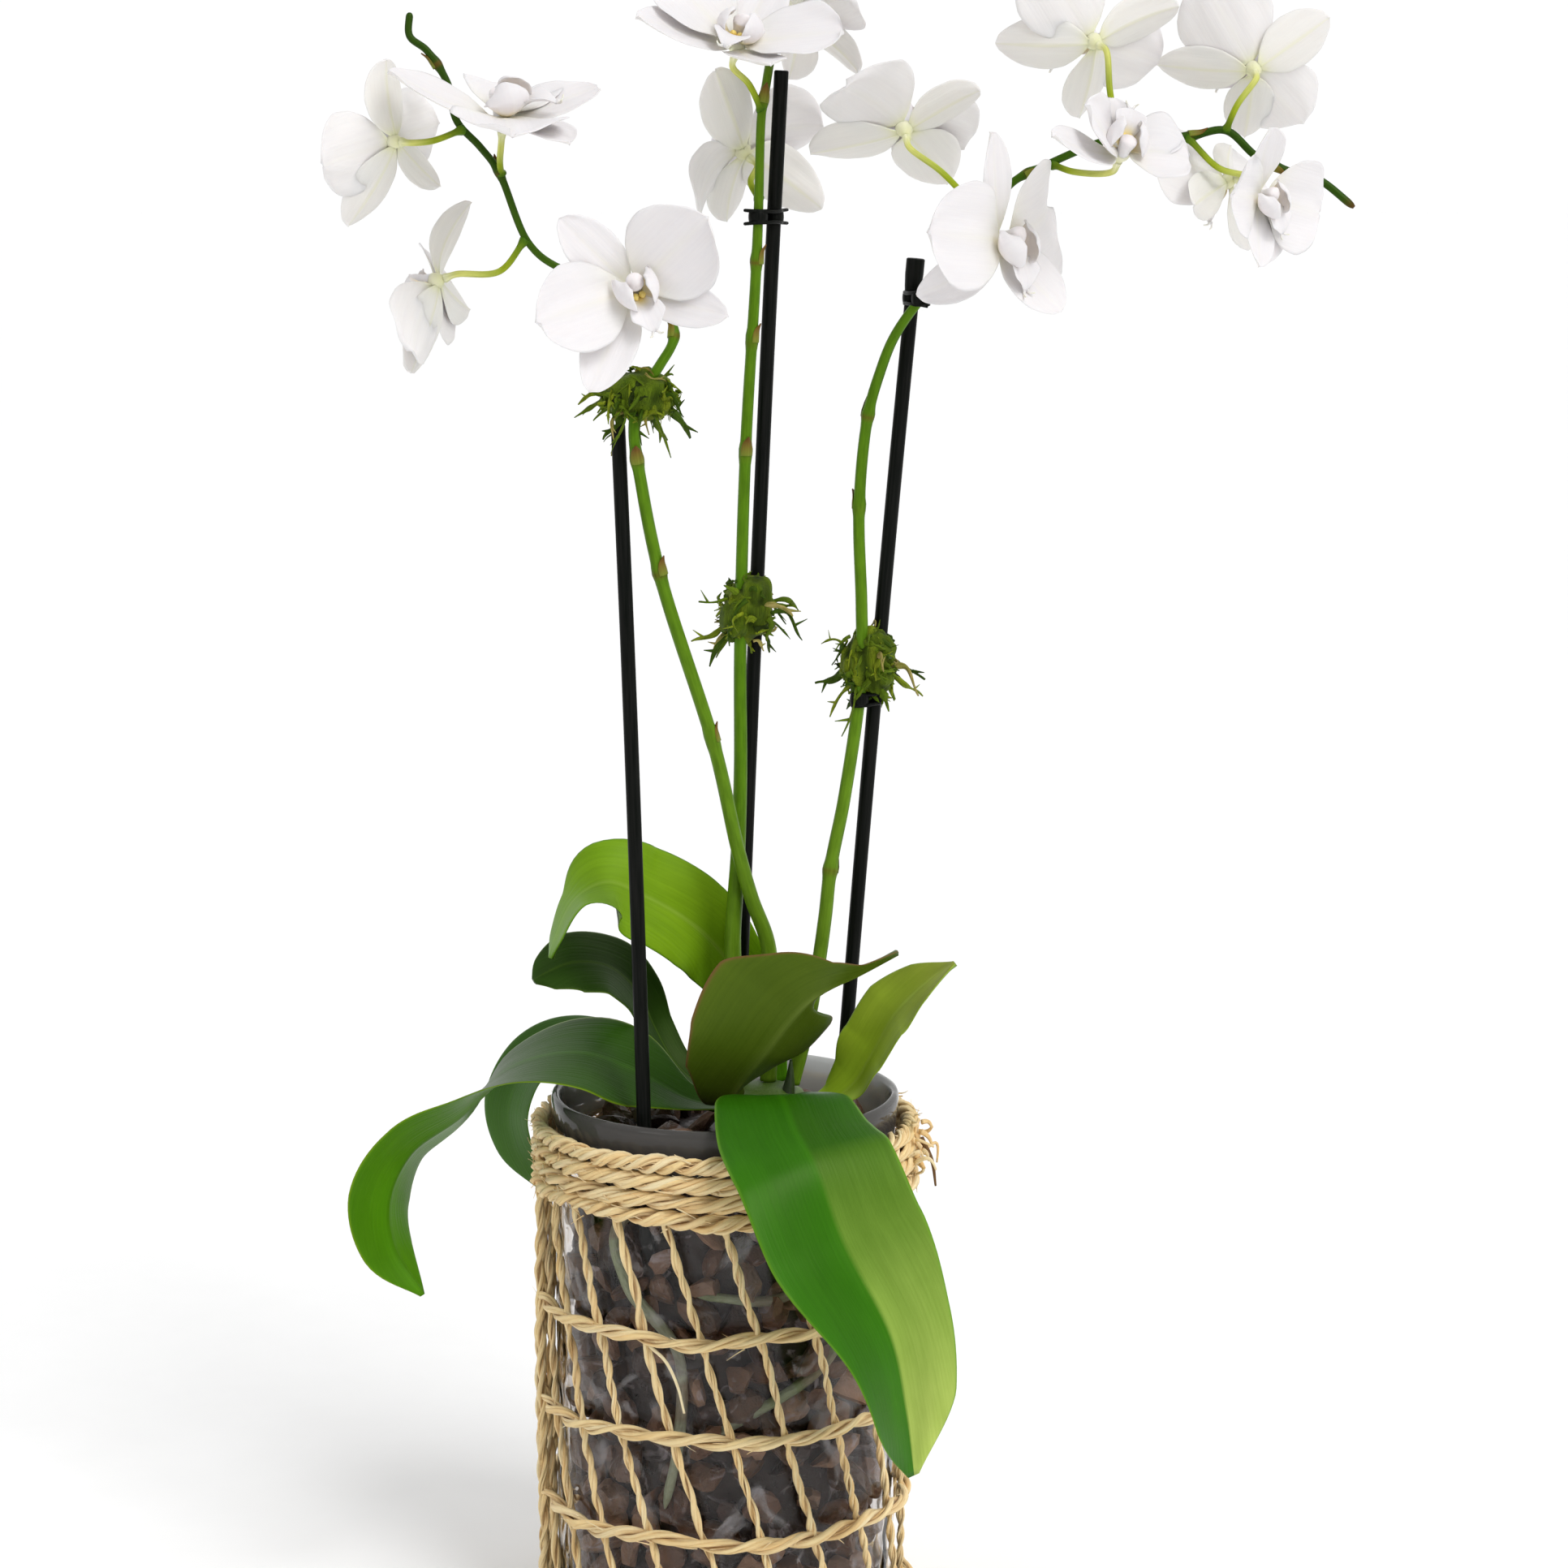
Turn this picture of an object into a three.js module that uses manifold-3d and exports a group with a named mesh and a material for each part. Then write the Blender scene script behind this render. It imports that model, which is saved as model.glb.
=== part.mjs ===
// A white moth orchid with three flower spikes, planted in bark in a clear glass vase that stands in a net of
// twisted straw rope. Millimetres, +Z up. The origin is the centre of the vase's flat base, +Y points away from
// the viewer and +X to the viewer's right.
import * as THREE from "three";
import { mergeVertices } from "three/addons/utils/BufferGeometryUtils.js";
import Module from "manifold-3d";

const wasm = await Module();
wasm.setup();

// Clearance between pieces that touch
const GAP = 0.3;

// Glass vase
const VASE_HEIGHT = 201;
const VASE_RADIUS = 63;
const VASE_WALL = 3;
const VASE_FLOOR = 7;
const RIM_RADIUS = 64.2;
const VASE_SEGMENTS = 28;
const VASE_INNER = VASE_RADIUS - VASE_WALL;

// Straw net round the vase
const CORD_COUNT = 20;
const CORD_THICK = 3.8;
const CORD_LEAN = 0.254;
const CORD_TOP = 169;
const CORD_BENDS = 3;
const ROW_HEIGHTS = [125, 88, 50];
const ROW_THICK = 5.6;
const BASE_RING_HEIGHT = 10;
const BAND_HEIGHTS = [169.8, 176.4, 183, 189.6];
const BAND_THICK = 7.6;
const BAND_NOTCH = 5.4;
const NET_WAVE = 1;

// Bark filling and the orchid's crown and roots
const BARK_TOP = 186;
const BARK_RELIEF = 2.4;
const CROWN = { x: 15, y: -2, top: 203, foot: 158, radius: 15 };
const ROOT_THICK = 4.8;

// Stems and stakes
const STAKE_THICK = 5.2;
const PEDICEL_THICK = 2.6;
const NODE_SWELL = 0.7;
const NODE_STEP = 0.006;

const colour = (hex, roughness, metalness = 0) =>
  new THREE.MeshStandardMaterial({ color: hex, roughness, metalness });
const GLASS = colour(0x9a9794, 0.1);
const STRAW = colour(0xd8bc84, 0.9);
const BARK = colour(0x3a2a26, 0.8);
const ROOT = colour(0x8c9478, 0.7);
const LEAF = colour(0x3f7a12, 0.4);
const STEM = colour(0x4f7a1a, 0.5);
const PETAL = colour(0xf2f0f0, 0.6);
const STAKE = colour(0x141414, 0.5);
const MOSS = colour(0x6f8a1c, 1);

const vec = (x, y, z) => new THREE.Vector3(x, y, z);
const degrees = (angle) => (angle * Math.PI) / 180;
const degreesOf = (arc, radius) => ((arc / radius) * 180) / Math.PI;
const around = (azimuth, radius, z) =>
  vec(radius * Math.cos(degrees(azimuth)), radius * Math.sin(degrees(azimuth)), z);

// A seeded random number from 0 to 1, the same on every run
function randomSource(seed) {
  let state = seed;
  return () => {
    state = (state * 16807) % 2147483647;
    return state / 2147483647;
  };
}

// A closed solid from points and triangles, turned to face outwards
function solid(points, triangles) {
  const vertProperties = new Float32Array(points.flatMap((p) => [p.x, p.y, p.z]));
  const make = (triVerts) =>
    new wasm.Manifold(new wasm.Mesh({ numProp: 3, vertProperties, triVerts }));
  const made = make(new Uint32Array(triangles.flat()));
  if (made.volume() > 0) return made;
  return make(new Uint32Array(triangles.flatMap(([a, b, c]) => [a, c, b])));
}

function solidOf(geometry) {
  geometry.deleteAttribute("normal");
  geometry.deleteAttribute("uv");
  const merged = mergeVertices(geometry, 1e-3);
  const place = merged.getAttribute("position");
  const points = Array.from({ length: place.count }, (_, i) => vec().fromBufferAttribute(place, i));
  const index = merged.index.array;
  const triangles = [];
  for (let i = 0; i < index.length; i += 3) triangles.push([index[i], index[i + 1], index[i + 2]]);
  return solid(points, triangles);
}

const fuse = (pieces) => pieces.reduce((whole, piece) => whole.add(piece));
const cut = (whole, tools) => tools.reduce((rest, tool) => rest.subtract(tool), whole);
const largest = (whole) => whole.decompose().sort((a, b) => b.volume() - a.volume())[0];

function meshOf(name, whole, material) {
  const { vertProperties, triVerts } = whole.getMesh();
  const geometry = new THREE.BufferGeometry();
  geometry.setAttribute("position", new THREE.BufferAttribute(vertProperties, 3));
  geometry.setIndex(new THREE.BufferAttribute(triVerts, 1));
  geometry.computeVertexNormals();
  const mesh = new THREE.Mesh(geometry, material.clone());
  mesh.name = name;
  return mesh;
}

// A closed tube over rings of points, all with the same number of sides
function tube(points, sides) {
  const last = points.length / sides - 1;
  const triangles = [];
  for (let i = 0; i < last; i++) {
    for (let k = 0; k < sides; k++) {
      const here = i * sides + k;
      const next = i * sides + ((k + 1) % sides);
      triangles.push([here, next, next + sides], [here, next + sides, here + sides]);
    }
  }
  for (let k = 1; k < sides - 1; k++) {
    triangles.push([0, k + 1, k], [last * sides, last * sides + k, last * sides + k + 1]);
  }
  return solid(points, triangles);
}

// A smooth curve through the points, and a round rod swept along a list of points
const smooth = (points) => new THREE.CatmullRomCurve3(points);

function rod(points, radiusAt, sides) {
  const last = points.length - 1;
  const across = vec(0, 0, 0);
  const placed = [];
  points.forEach((point, i) => {
    const along = points[Math.min(i + 1, last)].clone().sub(points[Math.max(i - 1, 0)]).normalize();
    if (i === 0) across.set(Math.abs(along.z) < 0.9 ? 0 : 1, 0, Math.abs(along.z) < 0.9 ? 1 : 0);
    across.addScaledVector(along, -across.dot(along)).normalize();
    const beside = along.clone().cross(across);
    const radius = radiusAt(i / last);
    for (let k = 0; k < sides; k++) {
      const turn = (2 * Math.PI * k) / sides;
      const rim = point.clone().addScaledVector(across, radius * Math.cos(turn));
      placed.push(rim.addScaledVector(beside, radius * Math.sin(turn)));
    }
  });
  return tube(placed, sides);
}

// A thin plate between two like grids of points, split into triangles alike on both faces
function plate(top, bottom) {
  const rows = top.length;
  const columns = top[0].length;
  const at = (face, i, j) => (face * rows + i) * columns + j;
  const triangles = [];
  for (let i = 0; i < rows - 1; i++) {
    for (let j = 0; j < columns - 1; j++) {
      triangles.push([at(0, i, j), at(0, i, j + 1), at(0, i + 1, j + 1)]);
      triangles.push([at(0, i, j), at(0, i + 1, j + 1), at(0, i + 1, j)]);
      triangles.push([at(1, i, j), at(1, i + 1, j + 1), at(1, i, j + 1)]);
      triangles.push([at(1, i, j), at(1, i + 1, j), at(1, i + 1, j + 1)]);
    }
  }
  const edge = [];
  for (let j = 0; j < columns; j++) edge.push([0, j]);
  for (let i = 1; i < rows; i++) edge.push([i, columns - 1]);
  for (let j = columns - 2; j >= 0; j--) edge.push([rows - 1, j]);
  for (let i = rows - 2; i > 0; i--) edge.push([i, 0]);
  edge.forEach(([i, j], k) => {
    const [m, n] = edge[(k + 1) % edge.length];
    triangles.push([at(0, i, j), at(1, i, j), at(1, m, n)], [at(0, i, j), at(1, m, n), at(0, m, n)]);
  });
  return solid([...top.flat(), ...bottom.flat()], triangles);
}

// One station of a blade: a point of the midrib, the half width there, how far the edges rise above the midrib
// as a share of the half width, and the way the upper face looks
const station = (x, y, z, half, fold, faceX, faceY, faceZ) => ({
  at: vec(x, y, z),
  form: vec(half, fold, 0),
  face: vec(faceX, faceY, faceZ),
});

// A leaf or petal on its midrib: thick at the midrib, thin at its edges
function blade(stations, { rows, columns, thick, thin, wave = 0, waves = 3 }) {
  const midrib = smooth(stations.map((s) => s.at));
  const forms = smooth(stations.map((s) => s.form));
  const faces = smooth(stations.map((s) => s.face));
  const top = [];
  const bottom = [];
  for (let i = 0; i <= rows; i++) {
    const t = i / rows;
    const along = midrib.getTangent(t);
    const face = faces.getPoint(t);
    const side = face.clone().cross(along).normalize();
    const up = along.clone().cross(side);
    const { x: half, y: fold } = forms.getPoint(t);
    const over = [];
    const under = [];
    for (let j = 0; j <= columns; j++) {
      const s = (2 * j) / columns - 1;
      const ripple = wave * s * s * Math.sin(waves * Math.PI * t + (s > 0 ? 0 : 2));
      const place = midrib.getPoint(t).addScaledVector(side, s * half);
      place.addScaledVector(up, fold * half * Math.abs(s) + ripple);
      const depth = (thick + (thin - thick) * Math.abs(s)) / 2;
      over.push(place.clone().addScaledVector(up, depth));
      under.push(place.clone().addScaledVector(up, -depth));
    }
    top.push(over);
    bottom.push(under);
  }
  return plate(top, bottom);
}

// Glass vase: a straight cylinder with a thick floor and a rounded, slightly flared rim
function glassVase() {
  const profile = [
    [0, 0], [58.5, 0], [VASE_RADIUS, 4.5], [VASE_RADIUS, VASE_HEIGHT - 12],
    [RIM_RADIUS, VASE_HEIGHT - 4], [63.4, VASE_HEIGHT], [61.4, VASE_HEIGHT],
    [VASE_INNER, VASE_HEIGHT - 6], [VASE_INNER, VASE_FLOOR + 6], [55, VASE_FLOOR], [0, VASE_FLOOR],
  ];
  const turned = new THREE.LatheGeometry(profile.map(([r, z]) => new THREE.Vector2(r, z)), VASE_SEGMENTS);
  return solidOf(turned.rotateX(Math.PI / 2));
}

// Straw net: leaning cords, three level rows, a base ring and a band of four ropes at the top
const CORD_STEP = 360 / CORD_COUNT;
const NET_INNER = VASE_RADIUS + 2 * GAP;
const cordAzimuth = (i, z) => CORD_STEP * i + CORD_LEAN * (CORD_TOP - z);

function cord(number) {
  const half = degreesOf(CORD_THICK / 2, NET_INNER);
  const corners = [[-half, 0], [half, 0], [half, CORD_THICK], [-half, CORD_THICK]];
  const points = [];
  for (let k = 0; k <= CORD_BENDS; k++) {
    const z = CORD_TOP + ((BASE_RING_HEIGHT - CORD_TOP) * k) / CORD_BENDS;
    corners.forEach(([turn, out]) => {
      points.push(around(cordAzimuth(number, z) + turn, NET_INNER + GAP + out, z));
    });
  }
  return tube(points, corners.length);
}

// A ring with one flat between every two cords, turned from the outline of its section
function netRing(section, height, wave, phase) {
  const outline = section.map(([r, z]) => new THREE.Vector2(r, z));
  const ring = new THREE.LatheGeometry([...outline, outline[0]], CORD_COUNT).rotateX(Math.PI / 2);
  ring.rotateZ(degrees(cordAzimuth(0.5, height) - 90));
  const place = ring.getAttribute("position");
  for (let i = 0; i < place.count; i++) {
    const turn = Math.atan2(place.getY(i), place.getX(i));
    place.setZ(i, place.getZ(i) + height + wave * Math.sin(3 * turn + phase));
  }
  return solidOf(ring);
}

function ropeNet() {
  const inner = (NET_INNER + GAP / 2) / Math.cos(degrees(CORD_STEP / 2));
  const rowSection = (thick) => [
    [inner, thick / 2], [inner, -thick / 2], [inner + thick, -thick / 2], [inner + thick, thick / 2],
  ];
  const bandInner = (RIM_RADIUS + GAP) / Math.cos(degrees(CORD_STEP / 2));
  const bandFoot = BAND_HEIGHTS[0] - BAND_THICK / 2;
  const bandHead = BAND_HEIGHTS[BAND_HEIGHTS.length - 1] + BAND_THICK / 2;
  const bandSection = [[bandInner, bandHead], [bandInner, bandHead - BAND_THICK], [inner, BAND_HEIGHTS[1]]];
  bandSection.push([inner, bandFoot]);
  BAND_HEIGHTS.forEach((z) => {
    bandSection.push([inner + BAND_NOTCH, z - BAND_THICK / 2], [inner + BAND_THICK, z]);
  });
  bandSection.push([inner + BAND_NOTCH, bandHead]);
  const pieces = Array.from({ length: CORD_COUNT }, (_, i) => cord(i));
  ROW_HEIGHTS.forEach((z, i) => pieces.push(netRing(rowSection(ROW_THICK), z, NET_WAVE, 2 * i)));
  pieces.push(netRing(rowSection(BAND_THICK), BASE_RING_HEIGHT, 0, 0), netRing(bandSection, 0, 0, 0));
  return fuse(pieces);
}

// Roots run from the crown to the glass and down along it: azimuth, radius and height of each point
const NEAR_GLASS = VASE_INNER * Math.cos(Math.PI / VASE_SEGMENTS) - 4 * GAP - ROOT_THICK / 2;
const ROOT_ROUTES = [
  [[-115, 22, 176], [-128, 45, 170], [-133, NEAR_GLASS, 158], [-126, NEAR_GLASS, 138],
    [-107, NEAR_GLASS, 118], [-106, NEAR_GLASS, 88], [-112, NEAR_GLASS, 58]],
  [[-60, 22, 172], [-48, 45, 165], [-52, NEAR_GLASS, 148], [-69, NEAR_GLASS, 137], [-100, NEAR_GLASS, 139]],
  [[-15, 28, 170], [-25, 46, 158], [-34, NEAR_GLASS, 136], [-50, NEAR_GLASS, 110], [-96, NEAR_GLASS, 85]],
  [[70, 24, 172], [80, 46, 158], [95, NEAR_GLASS, 130], [88, NEAR_GLASS, 100], [75, NEAR_GLASS, 60]],
  [[165, 20, 174], [160, 46, 164], [158, NEAR_GLASS, 140], [170, NEAR_GLASS, 110], [150, NEAR_GLASS, 70]],
];

function rootRods(clearance) {
  return ROOT_ROUTES.map((route) => {
    const bends = route.map(([azimuth, radius, z]) => around(azimuth, radius, z));
    const start = vec(CROWN.x, CROWN.y, 178);
    const points = smooth([start, ...bends]).getPoints(bends.length + 2);
    return rod(points, (t) => (ROOT_THICK / 2) * (1 - 0.3 * t * t) + clearance, 4);
  });
}

const CROWN_SIDES = 9;
const crownRod = (clearance) =>
  rod(
    [CROWN.foot - clearance, 170, 188, CROWN.top].map((z) => vec(CROWN.x, CROWN.y, z)),
    (t) => CROWN.radius * [0.5, 0.7, 0.96, 1][Math.round(3 * t)] + clearance,
    CROWN_SIDES,
  );

function crownRoots() {
  const sprout = rod([vec(23, -8, 199), vec(24, -8, 206), vec(24.5, -8, 214)], (t) => 3 - 2.4 * t, 4);
  return fuse([crownRod(0), sprout, ...rootRods(0)]);
}

// Bark: a filling of coarse chunks, uneven where it meets the glass and on top
function barkMix() {
  const random = randomSource(5);
  const turns = 16;
  const levels = 5;
  const outer = VASE_INNER * Math.cos(Math.PI / VASE_SEGMENTS) - GAP;
  const floor = VASE_FLOOR + GAP;
  const points = [];
  for (let i = 0; i <= levels; i++) {
    const share = i / levels;
    for (let k = 0; k < turns; k++) {
      const corner = i === 0 ? 6 : 0;
      const height = floor + share * (BARK_TOP - floor) + (i > 0 ? 5 * (random() - 0.5) : 0);
      points.push(around((360 * (k + 0.5 * (i % 2))) / turns, outer - corner - BARK_RELIEF * random(), height));
    }
  }
  for (let k = 0; k < turns; k++) {
    points.push(around((360 * k) / turns, 0.55 * outer + 5 * random(), BARK_TOP + 5 * random()));
  }
  const bands = levels + 1;
  const triangles = [];
  for (let i = 0; i < bands; i++) {
    for (let k = 0; k < turns; k++) {
      const here = i * turns + k;
      const next = i * turns + ((k + 1) % turns);
      triangles.push([here, next, next + turns], [here, next + turns, here + turns]);
    }
  }
  points.push(vec(0, 0, floor), vec(0, 0, BARK_TOP));
  const foot = points.length - 2;
  for (let k = 0; k < turns; k++) {
    const after = (k + 1) % turns;
    triangles.push([foot, after, k], [foot + 1, bands * turns + k, bands * turns + after]);
  }
  return solid(points, triangles);
}

// Leaves, each from the crown outwards
const LEAVES = {
  leaf_front: [
    station(16, -18.4, 198, 6, 0.5, 0, 0.3, 1),
    station(19, -34, 205, 13, 0.2, 0, -0.1, 1),
    station(21, -52, 210, 24, 0, 0, -0.15, 1),
    station(26, -71.1, 202.5, 27.9, -0.06, 0.05, -0.53, 0.92),
    station(31.7, -83.5, 194.2, 28.9, 0.08, 0.29, -1.01, 0.36),
    station(40.9, -89, 169.3, 28.6, 0.4, 0.34, -1.15, 0.17),
    station(57.9, -92.3, 135.3, 22.7, 0.38, 0.49, -0.86, 0.18),
    station(63.4, -89.6, 108.7, 18.4, 0.45, 0.7, -0.86, 0),
    station(67.2, -83.6, 82.2, 2.4, 0.32, 0.45, -0.8, 0),
  ],
  leaf_centre: [
    station(5, -15.6, 200, 4, 0.6, -0.35, 0.6, 0.7),
    station(2.4, -21.3, 202.8, 9.5, 0.48, -0.44, 0.5, 0.5),
    station(6.2, -26.3, 211, 21.5, 0.34, -0.43, 0.66, 0.54),
    station(14, -31.5, 222, 29, 0.36, -0.4, 0.73, 0.5),
    station(24, -35.3, 236, 31, 0.46, -0.37, 0.8, 0.48),
    station(31, -35.5, 243, 21.5, 0.44, -0.32, 0.72, 0.55),
    station(38.5, -31.5, 246.8, 11.5, 0.36, -0.22, 0.55, 0.7),
    station(48.5, -22, 249.4, 6.5, 0.2, -0.12, 0.45, 0.8),
    station(63.1, -9, 254.4, 1, 0.05, -0.15, 0.5, 0.8),
  ],
  leaf_back_high: [
    station(19.4, 15, 199.6, 4, 0.5, 0, -1, 0.3),
    station(16, 21.5, 213, 7, 0.5, 0, -1, 0.2),
    station(9, 22.5, 232, 11, 0.4, -0.1, -1, 0.2),
    station(-2, 19, 249, 15, 0.3, -0.1, -0.9, 0.4),
    station(-14, 10, 262, 19, 0.2, -0.1, -0.8, 0.6),
    station(-29, 2, 272.5, 21, 0.12, -0.1, -0.72, 0.7),
    station(-43, -4, 279, 18, 0.1, -0.2, -0.7, 0.66),
    station(-54, -9, 273, 12.5, 0.1, -0.85, -0.35, 0.35),
    station(-60.5, -11.5, 260, 8.5, 0.1, -0.93, -0.3, 0.15),
    station(-63, -12.5, 253, 1.5, 0.1, -0.95, -0.3, 0.1),
  ],
  leaf_left_low: [
    station(-1.2, -7, 195, 4, 0.4, 0.1, -0.2, 1),
    station(-14, -9, 199, 9, 0.25, 0.1, -0.35, 0.9),
    station(-34, -13, 211, 22, 0.1, 0.05, -0.45, 0.89),
    station(-53, -17, 218, 26, 0, -0.1, -0.3, 0.95),
    station(-76, -21, 214, 25, 0, -0.35, -0.05, 0.93),
    station(-97, -26, 197, 21, 0.08, -0.58, 0.36, 0.73),
    station(-114, -30, 185, 20, 0.15, -0.78, 0.45, 0.42),
    station(-122, -34, 168, 18, 0.2, -0.83, 0.56, 0),
    station(-120, -37, 151, 13, 0.2, -0.8, 0.6, -0.1),
    station(-109, -39, 134, 1, 0.1, -0.75, 0.65, -0.2),
  ],
  leaf_left_high: [
    station(-1.2, 2.5, 197, 3.5, 0.4, 0.3, -0.3, 0.9),
    station(-11, 6.5, 201, 5, 0.4, 0.5, -0.5, 0.7),
    station(-20, 11, 209, 7, 0.4, 0.6, -0.65, 0.45),
    station(-27, 14.5, 221, 8, 0.35, 0.6, -0.65, 0.45),
    station(-33, 14, 234, 11, 0.3, 0.6, -0.6, 0.5),
    station(-43, 11, 244, 15, 0.15, 0.3, -0.55, 0.8),
    station(-56, 5.5, 247, 13.5, 0.05, -0.1, -0.75, 0.65),
    station(-66, 0.5, 244, 7.5, 0, -0.3, -0.8, 0.5),
    station(-70, -1.5, 242, 1.5, 0, -0.3, -0.8, 0.5),
  ],
  leaf_back_low: [
    station(2.4, 7.4, 195, 3, 0.5, -0.1, 0.1, 1),
    station(-15, 22.5, 202, 8, 0.3, 0, 0.15, 1),
    station(-38, 30, 211, 16, 0.2, -0.1, 0.1, 1),
    station(-60, 34, 210, 17, 0.15, -0.35, -0.25, 0.9),
    station(-75, 37, 200, 16, 0.15, -0.7, -0.5, 0.5),
    station(-82, 38, 184, 15, 0.15, -0.75, -0.62, 0.15),
    station(-80, 39, 168, 11, 0.1, -0.7, -0.7, 0),
    station(-71, 40, 152, 1, 0.1, -0.7, -0.7, 0),
  ],
  leaf_right: [
    station(29.8, -6.7, 196, 4.5, 0.5, -0.3, 0.1, 1),
    station(39, -9, 198, 9, 0.5, -0.6, -0.2, 0.8),
    station(48, -10, 205, 12, 0.45, -0.8, -0.5, 0.45),
    station(55.5, -12, 218, 16, 0.4, -0.8, -0.5, 0.45),
    station(63, -14, 232, 16, 0.35, -0.75, -0.5, 0.5),
    station(73, -16, 243, 12, 0.3, -0.6, -0.4, 0.7),
    station(84, -17, 252, 1, 0.3, -0.3, -0.3, 0.9),
  ],
};
const LEAF_BLADE = { rows: 9, columns: 4, thick: 2, thin: 1 };

// Stakes: straight black rods pushed into the bark beside each spike
const STAKES = {
  stake_left: [vec(-37, -16, 447), vec(-32, -30, 322), vec(-27, -45, 150)],
  stake_centre: [vec(21, 3, 571), vec(13, 8, 410), vec(2, 17, 140)],
  stake_right: [vec(69, 3, 505), vec(57, 8, 370), vec(39, 16, 140)],
};
const stakeRod = (name, clearance) => {
  const points = smooth(STAKES[name]).getPoints(3);
  const last = points.length - 1;
  points[last].addScaledVector(points[last].clone().sub(points[last - 1]).normalize(), clearance);
  return rod(points, () => STAKE_THICK / 2 + clearance, 8);
};

// Flower spikes: the points of each main stem, its thickness at foot and tip, and where its nodes sit
const SPIKES = {
  spike_left: {
    foot: 6.2,
    tip: 2.6,
    nodes: [0.23, 0.275, 0.337, 0.5, 0.725, 0.887],
    points: [
      vec(16, 4, 203.4), vec(17, 3, 230), vec(16, 2, 255), vec(10, -1, 273), vec(5, -4, 292),
      vec(-3, -8, 329), vec(-22, -16, 392), vec(-28.5, -20, 425), vec(-31, -23, 446),
      vec(-29, -22, 458), vec(-22, -20, 468), vec(-17, -16, 478), vec(-21, -12, 489), vec(-32, -12, 495),
      vec(-59, -16, 503), vec(-68, -18, 511), vec(-78, -22, 536), vec(-84, -23, 544),
      vec(-92, -24, 553), vec(-95, -25, 566), vec(-102, -24, 577), vec(-108, -23, 582), vec(-108, -22, 590),
    ],
  },
  spike_centre: {
    foot: 7,
    tip: 3.2,
    nodes: [0.467, 0.505, 0.537, 0.69],
    points: [
      vec(5, 5, 203.4), vec(4, 4, 230), vec(3, 3, 256), vec(4, 3, 273), vec(5, 3, 289), vec(6, 3, 319),
      vec(6, 3, 364), vec(8, 1, 435), vec(12, -2, 502), vec(13, -3, 527),
      vec(14, -3, 556), vec(15.6, -1, 566), vec(17, 4, 574), vec(20, 10, 584), vec(22, 14, 597), vec(21, 17, 608),
    ],
  },
  spike_right: {
    foot: 5.6,
    tip: 2.8,
    nodes: [0.157, 0.32, 0.36, 0.66, 0.8, 0.9],
    points: [
      vec(25, -3, 204), vec(30, -4, 224), vec(34, -2, 245), vec(37, 0, 266), vec(39, 2, 284), vec(44, 2, 310),
      vec(50, 2, 355), vec(50, 2, 380), vec(49, 2, 416), vec(52, 0, 449),
      vec(56, -2, 464), vec(61, -4, 477), vec(69, -7, 489), vec(78, -8, 498), vec(88, -7, 508),
      vec(95, -5, 519), vec(102, -4, 531), vec(115, -5, 538), vec(138, -4, 547), vec(153, 0, 548),
      vec(166, 3, 548), vec(179, 4, 550), vec(190, 4, 541), vec(201, 4, 536), vec(212, 4, 533), vec(225, 2, 523),
    ],
  },
};

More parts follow.
